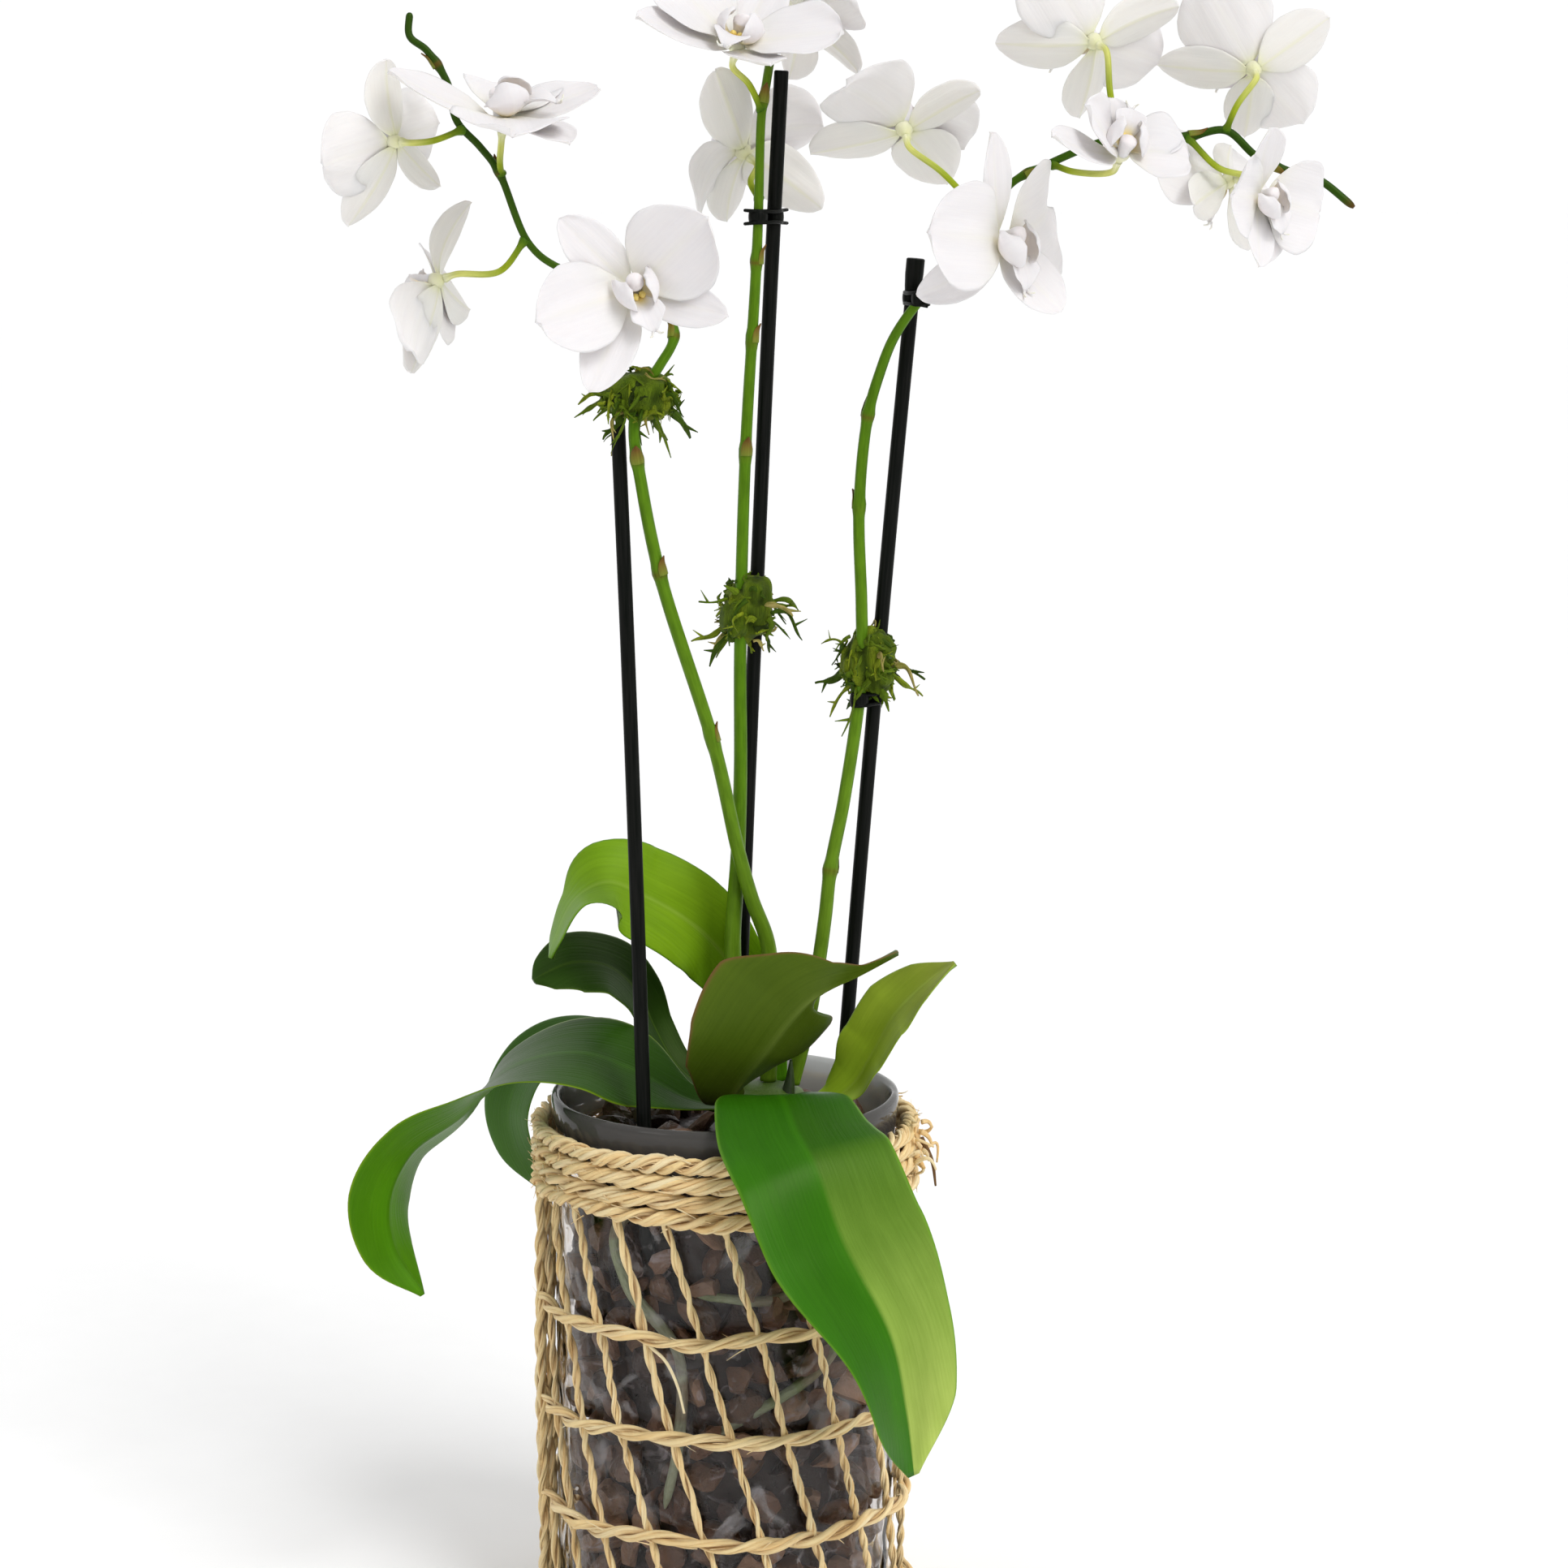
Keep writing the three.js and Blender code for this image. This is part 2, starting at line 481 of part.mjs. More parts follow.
// Blooms: the centre, the way the face looks, the way the top sepal points, the size, the pedicel's foot on its
// spike with the bends on its way to the back of the bloom, and the tepals: the three sepals and the two petals,
// each with its angle, how far it is cupped, and its length and width against the plain form
const TEPALS = [[90, 0, 1, 1], [-50, 0, 1, 1], [-130, 0, 1, 1], [14, 0, 1, 1], [166, 0, 1, 1]];
const bloom = (spike, at, face, top, size, stalk, tepals = TEPALS) =>
  ({ spike, at, face, top, size, stalk, tepals });
const BLOOMS = {
  bloom_left_1: bloom("spike_left", vec(-30.2, -40, 495.3), vec(0.16, -0.98, 0.13), vec(-0.38, 0.06, 0.92), 0.96,
    [vec(-32, -12, 494.5), vec(-36, -23, 496)],
    [[117, 12.3, 1.04, 0.93], [-41, 16.1, 0.96, 0.8], [-137, 10.3, 1.18, 0.97],
      [22, 20.9, 0.9, 1.04], [178, 14.8, 1.08, 0.91]]),
  bloom_left_2: bloom("spike_left", vec(-99.8, -22, 497.8), vec(-0.91, 0.3, -0.3), vec(-0.32, -0.03, 0.95), 0.93,
    [vec(-69, -18, 512), vec(-78, -21, 501)],
    [[141, -9.3, 1.07, 0.68], [-58, 16.5, 0.96, 1.11], [-153, 6, 0.96, 0.95],
      [-35, 5.3, 1.02, 0.83], [195, 6.5, 0.91, 1.12]]),
  bloom_left_3: bloom("spike_left", vec(-113, -29, 545.9), vec(-0.81, 0.59, 0.07), vec(-0.12, -0.28, 0.95), 0.84,
    [vec(-90, -24, 550), vec(-100, -33, 546)],
    [[96, 2.7, 0.97, 1.14], [-58, 17.5, 1.05, 1.12], [-132, 4.2, 1.05, 0.68],
      [-1, 8.6, 0.94, 0.98], [185, 5.6, 0.97, 0.96]]),
  bloom_left_4: bloom("spike_left", vec(-75.1, -35.3, 552.4), vec(0.11, -0.33, 0.94), vec(-0.99, 0.02, 0.12), 1.06,
    [vec(-77, -22, 535), vec(-77, -26, 539)],
    [[98, 15, 1.08, 1.15], [-53, 9.9, 1.01, 1.16], [-135, 5.9, 0.98, 0.98],
      [-1, -0.9, 0.99, 0.93], [191, 6.9, 1, 1.05]]),
  bloom_centre_1: bloom("spike_centre", vec(5.3, -15, 578.6), vec(0.18, -0.53, 0.83), vec(0.32, 0.83, 0.46), 1.02,
    [vec(14, -3, 557), vec(9.5, -5.5, 566)],
    [[90, 12.2, 1, 1], [-55, 15.9, 0.97, 1], [-145, 12.6, 1.07, 1.06],
      [16, 11.3, 0.96, 1.01], [166, 12.2, 1, 1]]),
  bloom_centre_2: bloom("spike_centre", vec(7.6, 16.5, 542.3), vec(-0.59, 0.56, 0.58), vec(-0.08, -0.76, 0.65), 0.96,
    [vec(13, -1, 526), vec(10, 6, 532)],
    [[87, 11.1, 1.09, 1.04], [-66, 0.6, 0.9, 0.94], [-123, -15.8, 1.05, 1.09],
      [2, -16.7, 0.93, 0.79], [190, -4.3, 0.96, 1.02]]),
  bloom_centre_3: bloom("spike_centre", vec(27, 29, 590), vec(0.6, 0.55, 0.55), vec(-0.3, -0.2, 0.9), 0.86,
    [vec(21, 12, 590), vec(22, 18, 583)]),
  bloom_right_1: bloom("spike_right", vec(64.8, 3, 550.1), vec(-0.17, 0.65, 0.74), vec(0.62, -0.51, 0.6), 0.98,
    [vec(94, -5, 518), vec(78, -9, 535)],
    [[119, 6.2, 0.87, 1], [-68, 12.1, 1.06, 1.12], [-156, 3, 1.08, 1.19],
      [10, 1.4, 0.93, 1.02], [186, 7.8, 0.96, 1.01]]),
  bloom_right_2: bloom("spike_right", vec(96.9, -28, 511.9), vec(0.73, -0.68, -0.03), vec(-0.14, -0.2, 0.97), 1.02,
    [vec(90, -7, 511), vec(89, -14, 513)],
    [[100, 10, 1.14, 0.71], [-69, 16.2, 0.82, 1.05], [-161, -9.5, 0.98, 0.88],
      [4, -8.4, 1.05, 1.13], [161, -1.5, 1.02, 1.02]]),
  bloom_right_3: bloom("spike_right", vec(138.7, -30, 541.2), vec(0.27, -0.65, 0.71), vec(-0.1, -0.75, -0.65), 0.91,
    [vec(117, -5, 538), vec(124, -11, 535.5)],
    [[34, 18.3, 1.1, 0.92], [-67, 10.8, 0.6, 0.9], [-143, 5.8, 0.8, 0.9],
      [2, 16.3, 0.55, 0.8], [189, 2.8, 0.74, 0.97]]),
  bloom_right_4: bloom("spike_right", vec(132.1, 6, 580.9), vec(-0.46, 0.8, 0.39), vec(0.68, 0.04, 0.74), 0.95,
    [vec(140, -4, 547), vec(137, -2.5, 564)],
    [[116, -0.7, 1.03, 0.96], [-51, 18.5, 0.92, 1.02], [-144, 13.6, 1.03, 0.94],
      [13, 9.8, 1.03, 1.02], [157, 3.6, 1.02, 0.9]]),
  bloom_right_5: bloom("spike_right", vec(189, 8, 571.3), vec(-0.01, 0.91, 0.41), vec(0.76, -0.26, 0.59), 0.91,
    [vec(179, 4, 550), vec(182.5, 0, 559)],
    [[99, 10.8, 0.98, 1.09], [-57, 17.6, 1.02, 0.87], [-140, 14.5, 0.96, 0.97],
      [7, 15.6, 1.02, 1.07], [181, 11.3, 1, 0.88]]),
  bloom_right_6: bloom("spike_right", vec(181.4, 12, 532.2), vec(-0.8, 0.56, -0.23), vec(0.03, 0.42, 0.91), 0.84,
    [vec(165, 3, 548), vec(176, 0, 537)],
    [[102, 3.6, 0.55, 0.9], [-38, 2.8, 0.99, 0.98], [-145, 6.3, 0.97, 0.95],
      [5, 11.6, 1.03, 0.98], [165, 0.5, 1, 1.02]]),
  bloom_right_7: bloom("spike_right", vec(188.2, -18.5, 527), vec(0.69, -0.72, -0.1), vec(-0.26, -0.38, 0.89), 0.8,
    [vec(190, 4, 541), vec(187, -5, 533)],
    [[87, 15, 0.95, 1.21], [-104, 5.2, 0.85, 1.13], [-134, 12.9, 0.87, 1],
      [-38, 6.4, 0.96, 1.15], [150, 12, 0.98, 1]]),
};

// Bloom, facing +Z with its top sepal towards +Y: reach, half width and forward lift of each tepal's stations
const SEPAL_FORM = [[2.6, 1.4, 0], [13, 9.6, 1.2], [25, 9.6, 0.6], [34, 2.4, -1.5]];
const PETAL_FORM = [[2.6, 1.4, 1.8], [11, 13.4, 3.4], [24, 17.5, 4], [33.5, 7, 2]];
const TEPAL_FOLD = 0.12;
const PETAL_WAVE = 0.8;
const NECK_BACK = 3;
const NECK_FRONT = 4.4;
const NECK_RADIUS = 4.6;
const THIN_BLADE = { thick: 0.9, thin: 0.7 };

// Round column above the neck, the lip's middle lobe below it, and a side lobe at either hand
const COLUMN_RADIUS = 2.4;
const COLUMN = [vec(0, 1, 3), vec(0, 1.8, 10.5)];
const MIDDLE_LOBE = [
  station(0, -3, 3, 1.4, 0.1, 0, 0.4, 1),
  station(0, -9, 8.5, 5, 0.25, 0, 0.6, 1),
  station(0, -17, 9, 1.4, 0, 0, 0.1, 1),
];
const sideLobe = (hand) => [
  station(hand * 3, -0.6, 3, 1.4, 0, -hand, 0.3, 0.5),
  station(hand * 6.8, -1.6, 12, 4.2, 0, -hand, 0.2, 0.3),
];

const SEPAL_COUNT = 3;

function tepal([angle, cup, length, width], form, wave) {
  const stations = form.map(([reach, half, lift]) => {
    const place = around(angle, reach * length, lift + cup * (reach / 34) ** 2);
    return station(place.x, place.y, place.z, half * width, TEPAL_FOLD, 0, 0, 1);
  });
  return blade(stations, { rows: 3, columns: 2, wave, ...THIN_BLADE });
}

function bloomSolid({ at, face, top, size, tepals }) {
  const pieces = tepals.slice(0, SEPAL_COUNT).map((item) => tepal(item, SEPAL_FORM, 0));
  tepals.slice(SEPAL_COUNT).forEach((item) => pieces.push(tepal(item, PETAL_FORM, PETAL_WAVE)));
  const neck = new THREE.CylinderGeometry(NECK_RADIUS, NECK_RADIUS - 1, NECK_BACK + NECK_FRONT, 5);
  pieces.push(solidOf(neck.rotateX(Math.PI / 2).translate(0, 0, (NECK_FRONT - NECK_BACK) / 2)));
  pieces.push(rod(COLUMN, () => COLUMN_RADIUS, 4));
  pieces.push(blade(MIDDLE_LOBE, { rows: 2, columns: 2, ...THIN_BLADE }));
  [-1, 1].forEach((hand) => pieces.push(blade(sideLobe(hand), { rows: 1, columns: 1, ...THIN_BLADE })));
  const forward = face.clone().normalize();
  const upward = top.clone().addScaledVector(forward, -top.dot(forward)).normalize();
  const frame = new THREE.Matrix4().makeBasis(upward.clone().cross(forward), upward, forward);
  frame.scale(vec(size, size, size)).setPosition(at);
  return fuse(pieces).transform(frame.elements);
}

// Pedicel: from its spike to just behind the bloom's neck
function pedicelRod({ at, face, size, stalk }) {
  const back = face.clone().normalize().negate();
  const end = at.clone().addScaledVector(back, NECK_BACK * size + GAP);
  const lead = at.clone().addScaledVector(back, NECK_BACK * size + 5);
  const points = smooth([...stalk, lead, end]).getPoints(3);
  return rod(points, () => PEDICEL_THICK / 2, 4);
}

// Main stem, swollen at its nodes
function stemRod({ points, foot, tip, nodes }, clearance) {
  const stations = points.map((_, i) => i / (points.length - 1));
  const curve = smooth(points);
  nodes.forEach((node) => stations.push(node, node + NODE_STEP));
  stations.sort((a, b) => a - b);
  const places = stations.map((t) => curve.getPoint(t));
  const radiusAt = (share) => {
    const t = stations[Math.round(share * (stations.length - 1))];
    const swell = nodes.includes(t) ? NODE_SWELL : 0;
    return foot / 2 + ((tip - foot) / 2) * Math.min(1, 1.6 * t) + swell + clearance;
  };
  return rod(places, radiusAt, 5);
}

function spikeSolid(name) {
  const stalks = Object.values(BLOOMS).filter((item) => item.spike === name).map(pedicelRod);
  return fuse([stemRod(SPIKES[name], 0), ...stalks]);
}

// Clips: black plates with two holes, snapped round a spike and its stake
const CLIP_THICK = 3;
const CLIPS = {
  clip_centre: { z: 519.7, spike: "spike_centre", stake: "stake_centre", wing: 5 },
  clip_right: { z: 491, spike: "spike_right", stake: "stake_right", wing: 5 },
  clip_low: { z: 346, spike: "spike_right", stake: "stake_right", wing: 1 },
};

// The point where a smooth run of points passes the height
function atHeight(points, z) {
  const places = smooth(points).getPoints(400);
  return places.reduce((best, p) => (Math.abs(p.z - z) < Math.abs(best.z - z) ? p : best));
}

function clipPlate({ z, spike, stake, wing }, clearance) {
  const stem = atHeight(SPIKES[spike].points, z);
  const rodPlace = atHeight(STAKES[stake], z);
  const middle = stem.clone().lerp(rodPlace, 0.5);
  const turn = Math.atan2(rodPlace.y - stem.y, rodPlace.x - stem.x);
  const apart = Math.hypot(rodPlace.x - stem.x, rodPlace.y - stem.y) / 2;
  const reach = apart + STAKE_THICK / 2 + 1.6 + clearance;
  const half = STAKE_THICK / 2 + 1.8 + clearance;
  const upper = [
    [reach + wing, 0], [reach, 0.6 * half], [0.6 * reach, half], [-0.6 * reach, half], [-reach, 0.6 * half],
  ];
  const lower = upper.map(([x, y]) => [-x, -y]);
  const outline = new THREE.Shape([...upper, ...lower].map(([x, y]) => new THREE.Vector2(x, y)));
  const depth = CLIP_THICK + 2 * clearance;
  const plateShape = new THREE.ExtrudeGeometry(outline, { depth, bevelEnabled: false });
  return solidOf(plateShape.rotateZ(turn).translate(middle.x, middle.y, z - depth / 2));
}

function clipSolid(item) {
  return largest(cut(clipPlate(item, 0), [stemRod(SPIKES[item.spike], GAP), stakeRod(item.stake, GAP)]));
}

// Moss tied round a spike and its stake: a rough core with ragged strands, and plain holes for both
const MOSS_TIES = {
  moss_left: { at: vec(-30, -20, 458), size: vec(16, 10, 12), spike: "spike_left", stake: "stake_left", seed: 3 },
  moss_centre: { at: vec(9, 4, 379), size: vec(12, 11, 15), spike: "spike_centre", stake: "stake_centre", seed: 7 },
  moss_right: { at: vec(53, 5, 360), size: vec(13, 11, 16), spike: "spike_right", stake: "stake_right", seed: 9 },
};
const STRANDS = 6;

function mossSolid({ at, size, spike, stake, seed }) {
  const random = randomSource(seed);
  const ball = new THREE.IcosahedronGeometry(1, 1);
  ball.deleteAttribute("normal");
  ball.deleteAttribute("uv");
  const core = mergeVertices(ball);
  const place = core.getAttribute("position");
  for (let i = 0; i < place.count; i++) {
    const p = vec().fromBufferAttribute(place, i).multiply(size).multiplyScalar(0.8 + 0.35 * random());
    place.setXYZ(i, p.x + at.x, p.y + at.y, p.z + at.z);
  }
  const pieces = [solidOf(core)];
  for (let i = 0; i < STRANDS; i++) {
    const azimuth = (360 * (i + 0.6 * random())) / STRANDS;
    const rise = 1.3 * random() - 1.1;
    const out = around(azimuth, 1, rise);
    const points = [0.5, 1.05, 1.45].map((reach, k) => {
      const p = out.clone().multiply(size).multiplyScalar(reach).add(at);
      return p.addScaledVector(vec(0, 0, -7 + 5 * random()), k / 2);
    });
    pieces.push(rod(points, (t) => 1.8 - 1.2 * t, 3));
  }
  const holes = [stemRod(SPIKES[spike], GAP), stakeRod(stake, GAP)];
  Object.values(CLIPS).filter((clip) => clip.spike === spike).forEach((clip) => holes.push(clipPlate(clip, GAP)));
  return largest(cut(fuse(pieces), holes));
}

const group = new THREE.Group();
const add = (name, whole, material) => group.add(meshOf(name, whole, material));

add("glass_vase", glassVase(), GLASS);
add("rope_net", ropeNet(), STRAW);
add("crown_roots", crownRoots(), ROOT);
const holesInBark = [crownRod(GAP), ...rootRods(GAP)];
Object.keys(STAKES).forEach((name) => holesInBark.push(stakeRod(name, GAP)));
add("bark_mix", largest(cut(barkMix(), holesInBark)), BARK);
Object.entries(LEAVES).forEach(([name, stations]) => add(name, blade(stations, LEAF_BLADE), LEAF));
Object.keys(STAKES).forEach((name) => add(name, stakeRod(name, 0), STAKE));
Object.keys(SPIKES).forEach((name) => add(name, spikeSolid(name), STEM));
Object.entries(BLOOMS).forEach(([name, item]) => add(name, bloomSolid(item), PETAL));
Object.entries(MOSS_TIES).forEach(([name, item]) => add(name, mossSolid(item), MOSS));
Object.entries(CLIPS).forEach(([name, item]) => add(name, clipSolid(item), STAKE));

export default group;
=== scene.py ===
import math

import bmesh
import bpy
import numpy as np
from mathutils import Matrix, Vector


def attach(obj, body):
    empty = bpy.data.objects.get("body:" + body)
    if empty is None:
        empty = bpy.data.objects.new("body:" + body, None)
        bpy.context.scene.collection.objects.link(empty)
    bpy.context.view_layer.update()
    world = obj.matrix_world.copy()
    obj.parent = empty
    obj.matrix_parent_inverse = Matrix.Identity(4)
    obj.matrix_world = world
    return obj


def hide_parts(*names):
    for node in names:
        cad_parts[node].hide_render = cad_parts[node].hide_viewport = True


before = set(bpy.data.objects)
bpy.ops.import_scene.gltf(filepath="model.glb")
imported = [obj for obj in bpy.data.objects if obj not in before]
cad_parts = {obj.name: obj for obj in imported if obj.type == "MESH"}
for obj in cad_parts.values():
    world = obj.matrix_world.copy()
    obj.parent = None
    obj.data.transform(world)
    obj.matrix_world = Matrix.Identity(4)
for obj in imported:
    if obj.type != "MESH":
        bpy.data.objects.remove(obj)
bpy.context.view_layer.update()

# A white moth orchid in a clear glass vase with a net of straw rope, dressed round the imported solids.
# Places and sizes are in millimetres, in the solids' frame, and turn into metres when a mesh is made.
MM = 0.001
UP = np.array([0.0, 0, 1])


# Curves and random numbers
class Smooth:
    """A smooth curve through points, the same one that the solids follow."""

    def __init__(self, points):
        inner = np.array(points, float)
        self.count = len(inner)
        first = 2 * inner[0] - inner[1]
        last = 2 * inner[-1] - inner[-2]
        self.points = np.vstack([first, inner, last])

    def at(self, share):
        place = np.clip(np.atleast_1d(share).astype(float), 0, 1) * (self.count - 1)
        i = np.minimum(place.astype(int), self.count - 2)
        w = (place - i)[:, None]
        a, b, c, d = (self.points[i + k] for k in range(4))
        before, here, after = self._step(a, b), self._step(b, c), self._step(c, d)
        here[here < 1e-4] = 1
        before = np.where(before < 1e-4, here, before)
        after = np.where(after < 1e-4, here, after)
        leave = ((b - a) / before - (c - a) / (before + here) + (c - b) / here) * here
        arrive = ((c - b) / here - (d - b) / (here + after) + (d - c) / after) * here
        second = -3 * b + 3 * c - 2 * leave - arrive
        third = 2 * b - 2 * c + leave + arrive
        return b + leave * w + second * w**2 + third * w**3

    @staticmethod
    def _step(a, b):
        return (np.sum((a - b) ** 2, axis=1) ** 0.25)[:, None]

    def along(self, share):
        step = 1e-4
        return unit(self.at(np.minimum(share + step, 1)) - self.at(np.maximum(share - step, 0)))


def unit(vectors):
    vectors = np.asarray(vectors, float)
    return vectors / np.maximum(np.linalg.norm(vectors, axis=-1, keepdims=True), 1e-12)


def around(azimuth, radius, z):
    """Points at azimuths in degrees."""
    azimuth, radius, z = np.broadcast_arrays(np.radians(azimuth), radius, z)
    return np.stack([radius * np.cos(azimuth), radius * np.sin(azimuth), z], axis=-1)


def steps(count):
    return np.linspace(0, 1, count)


def profile(values):
    """A smooth run of single values, such as a blade's half width from foot to tip."""
    curve = Smooth([(value, 0, 0) for value in values])
    return lambda t: curve.at(t)[:, 0]


def steady(direction):
    """The same direction all the way along."""
    return lambda t: np.broadcast_to(np.asarray(direction, float), (len(t), 3))


def distance_along(path):
    return np.concatenate([[0], np.cumsum(np.linalg.norm(np.diff(path, axis=0), axis=1))])


def drift(rng, count, knots):
    """A slow random walk between -1 and 1 with that many turning points."""
    values = rng.uniform(-1, 1, knots + 3)
    place = np.linspace(0, knots, count)
    i = place.astype(int)
    w = place - i
    w = w * w * (3 - 2 * w)
    return values[i] * (1 - w) + values[i + 1] * w


def blend(a, b, share):
    share = np.clip(np.asarray(share, float), 0, 1)[..., None]
    return np.asarray(a, float) * (1 - share) + np.asarray(b, float) * share


def linear(text):
    """A hex colour as linear red, green and blue."""
    parts = [int(text[i : i + 2], 16) / 255 for i in (1, 3, 5)]
    return np.array([p / 12.92 if p <= 0.04045 else ((p + 0.055) / 1.055) ** 2.4 for p in parts])


def bell(value, centre, width):
    return np.exp(-(((value - centre) / width) ** 2))


# Meshes: each piece gathers shells, with a colour and a grain place for every point
class Piece:
    def __init__(self):
        self.points, self.faces, self.paint, self.grain = [], [], [], []
        self.count = 0

    def add(self, points, faces, paint, grain):
        points = np.asarray(points, float).reshape(-1, 3)
        self.points.append(points)
        self.paint.append(np.broadcast_to(np.asarray(paint, float), (len(points), 3)))
        self.grain.append(np.broadcast_to(np.asarray(grain, float), (len(points), 3)))
        self.faces += [tuple(int(v) + self.count for v in face) for face in faces]
        self.count += len(points)

    def move(self, matrix, origin):
        """Turns all shells by the columns of a matrix and puts them at the origin given."""
        self.points = [p @ np.asarray(matrix).T + np.asarray(origin) for p in self.points]

    def make(self, name, material, nodes, smooth=True):
        mesh = bpy.data.meshes.new(name)
        mesh.from_pydata((np.vstack(self.points) * MM).tolist(), [], self.faces)
        colour = mesh.attributes.new("paint", "FLOAT_COLOR", "POINT")
        rgb = np.clip(np.vstack(self.paint), 0, 1)
        colour.data.foreach_set("color", np.hstack([rgb, np.ones((len(rgb), 1))]).astype(np.float32).ravel())
        grain = mesh.attributes.new("grain", "FLOAT_VECTOR", "POINT")
        grain.data.foreach_set("vector", np.vstack(self.grain).astype(np.float32).ravel())
        mesh.polygons.foreach_set("use_smooth", np.full(len(mesh.polygons), smooth))
        mesh.materials.append(material)
        mesh.update()
        thing = bpy.data.objects.new(name, mesh)
        bpy.context.scene.collection.objects.link(thing)
        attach(thing, "root")
        if nodes:
            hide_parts(*nodes)
        return thing


def ring_faces(rings, sides, closed=False):
    """Faces of a tube of rings, capped at both ends unless it closes on itself."""
    faces = []
    for i in range(rings if closed else rings - 1):
        j = (i + 1) % rings
        for k in range(sides):
            m = (k + 1) % sides
            faces.append((i * sides + k, i * sides + m, j * sides + m, j * sides + k))
    if not closed:
        faces.append(tuple(range(sides - 1, -1, -1)))
        faces.append(tuple(range((rings - 1) * sides, rings * sides)))
    return faces


def frames(path):
    """Two unit vectors across a path at each of its points, carried along without twist."""
    along = unit(np.gradient(path, axis=0))
    start = np.array([0.0, 0, 1]) if abs(along[0][2]) < 0.9 else np.array([1.0, 0, 0])
    across = np.empty_like(path)
    current = start
    for i, direction in enumerate(along):
        current = unit(current - direction * current.dot(direction))
        across[i] = current
    return across, np.cross(along, across)


def tube(piece, path, radius, sides, paint, seed=0.0, flat=1.0):
    """A tube along a path. radius and paint are given for each point, or for each point and side."""
    path = np.asarray(path, float)
    across, beside = frames(path)
    turn = 2 * np.pi * np.arange(sides) / sides
    rows = radius if np.ndim(radius) == 2 else np.reshape(radius, (-1, 1))
    radius = np.broadcast_to(rows, (len(path), sides))
    x = radius * np.cos(turn)
    y = radius * np.sin(turn) * flat
    points = path[:, None] + across[:, None] * x[..., None] + beside[:, None] * y[..., None]
    run = distance_along(path)
    grain = np.stack([x, y, np.broadcast_to((run + 100 * seed)[:, None], x.shape)], axis=-1)
    paint = np.asarray(paint, float)
    if paint.ndim == 2:
        paint = np.repeat(paint[:, None], sides, axis=1)
    piece.add(points, ring_faces(len(path), sides), np.broadcast_to(paint, points.shape).reshape(-1, 3),
              grain.reshape(-1, 3))


def blade(piece, midrib, half, fold, face, rows, columns, thick, thin, paint, seed=0, relief=None, sharp=0,
          keel=0):
    """A leaf or petal. Curves give midrib, half width, fold and face. paint(t, s, upper) colours it."""
    t = steps(rows + 1)
    s = np.sin(np.linspace(-1, 1, columns + 1) * np.pi / 2) * 0.35 + np.linspace(-1, 1, columns + 1) * 0.65
    centre = midrib.at(t)
    along = midrib.along(t)
    side = unit(np.cross(face(t), along))
    up = np.cross(along, side)
    width = half(t)[:, None]
    reach = np.sqrt(s**2 + 0.0025) - 0.05
    crest = sharp * reach + (1 - sharp) * s**2
    lift = fold(t)[:, None] * width * crest
    if relief is not None:
        lift = lift + relief(t[:, None], s[None, :], width)
    edge = np.sqrt(np.clip(1 - np.abs(s) ** 10, 0.02, 1))
    depth = np.broadcast_to((thick + (thin - thick) * np.abs(s)) / 2 * edge, lift.shape)
    flatline = centre[:, None] + side[:, None] * (s * width)[..., None]
    top = flatline + up[:, None] * (lift + depth)[..., None]
    ridge = keel * bell(s, 0, 0.09) * (1 - 0.7 * t[:, None])
    bottom = flatline + up[:, None] * (lift - depth - ridge)[..., None]
    run = np.broadcast_to((distance_along(centre) + 100 * seed)[:, None], lift.shape)
    place = np.stack([s * width, np.zeros_like(lift), run], -1)
    under = place + np.array([0, 7, 0])
    tt, ss = np.broadcast_to(t[:, None], lift.shape), np.broadcast_to(s[None, :], lift.shape)
    n, m = rows + 1, columns + 1
    index = np.arange(n * m).reshape(n, m)
    a, b, c, d = index[:-1, :-1], index[1:, :-1], index[1:, 1:], index[:-1, 1:]
    over = np.stack([a, b, c, d], -1).reshape(-1, 4)
    below = np.stack([a, d, c, b], -1).reshape(-1, 4) + n * m
    loop = list(index[0]) + list(index[1:, -1]) + list(index[-1, -2::-1]) + list(index[-2:0:-1, 0])
    rim = [(p, q, q + n * m, p + n * m) for p, q in zip(loop, loop[1:] + loop[:1])]
    colours = np.vstack([paint(tt, ss, 1).reshape(-1, 3), paint(tt, ss, 0).reshape(-1, 3)])
    piece.add(np.vstack([top.reshape(-1, 3), bottom.reshape(-1, 3)]), list(over) + list(below) + rim, colours,
              np.vstack([place.reshape(-1, 3), under.reshape(-1, 3)]))


def lathe(piece, profile, segments, paint, wobble=None):
    """A closed surface turned about the vase's axis from a profile that starts and ends on it."""
    points, faces = [], []
    turns = np.arange(segments) * 360 / segments
    for r, z in profile[1:-1]:
        change = wobble(turns, z) if wobble else 0
        points.append(around(turns, r + change, z))
    rings = len(points)
    points = np.vstack(points + [[[0, 0, profile[0][1]]], [[0, 0, profile[-1][1]]]])
    faces = ring_faces(rings, segments)[:-2]
    foot, head = rings * segments, rings * segments + 1
    for k in range(segments):
        m = (k + 1) % segments
        faces.append((foot, m, k))
        faces.append((head, (rings - 1) * segments + k, (rings - 1) * segments + m))
    piece.add(points, faces, paint, points)


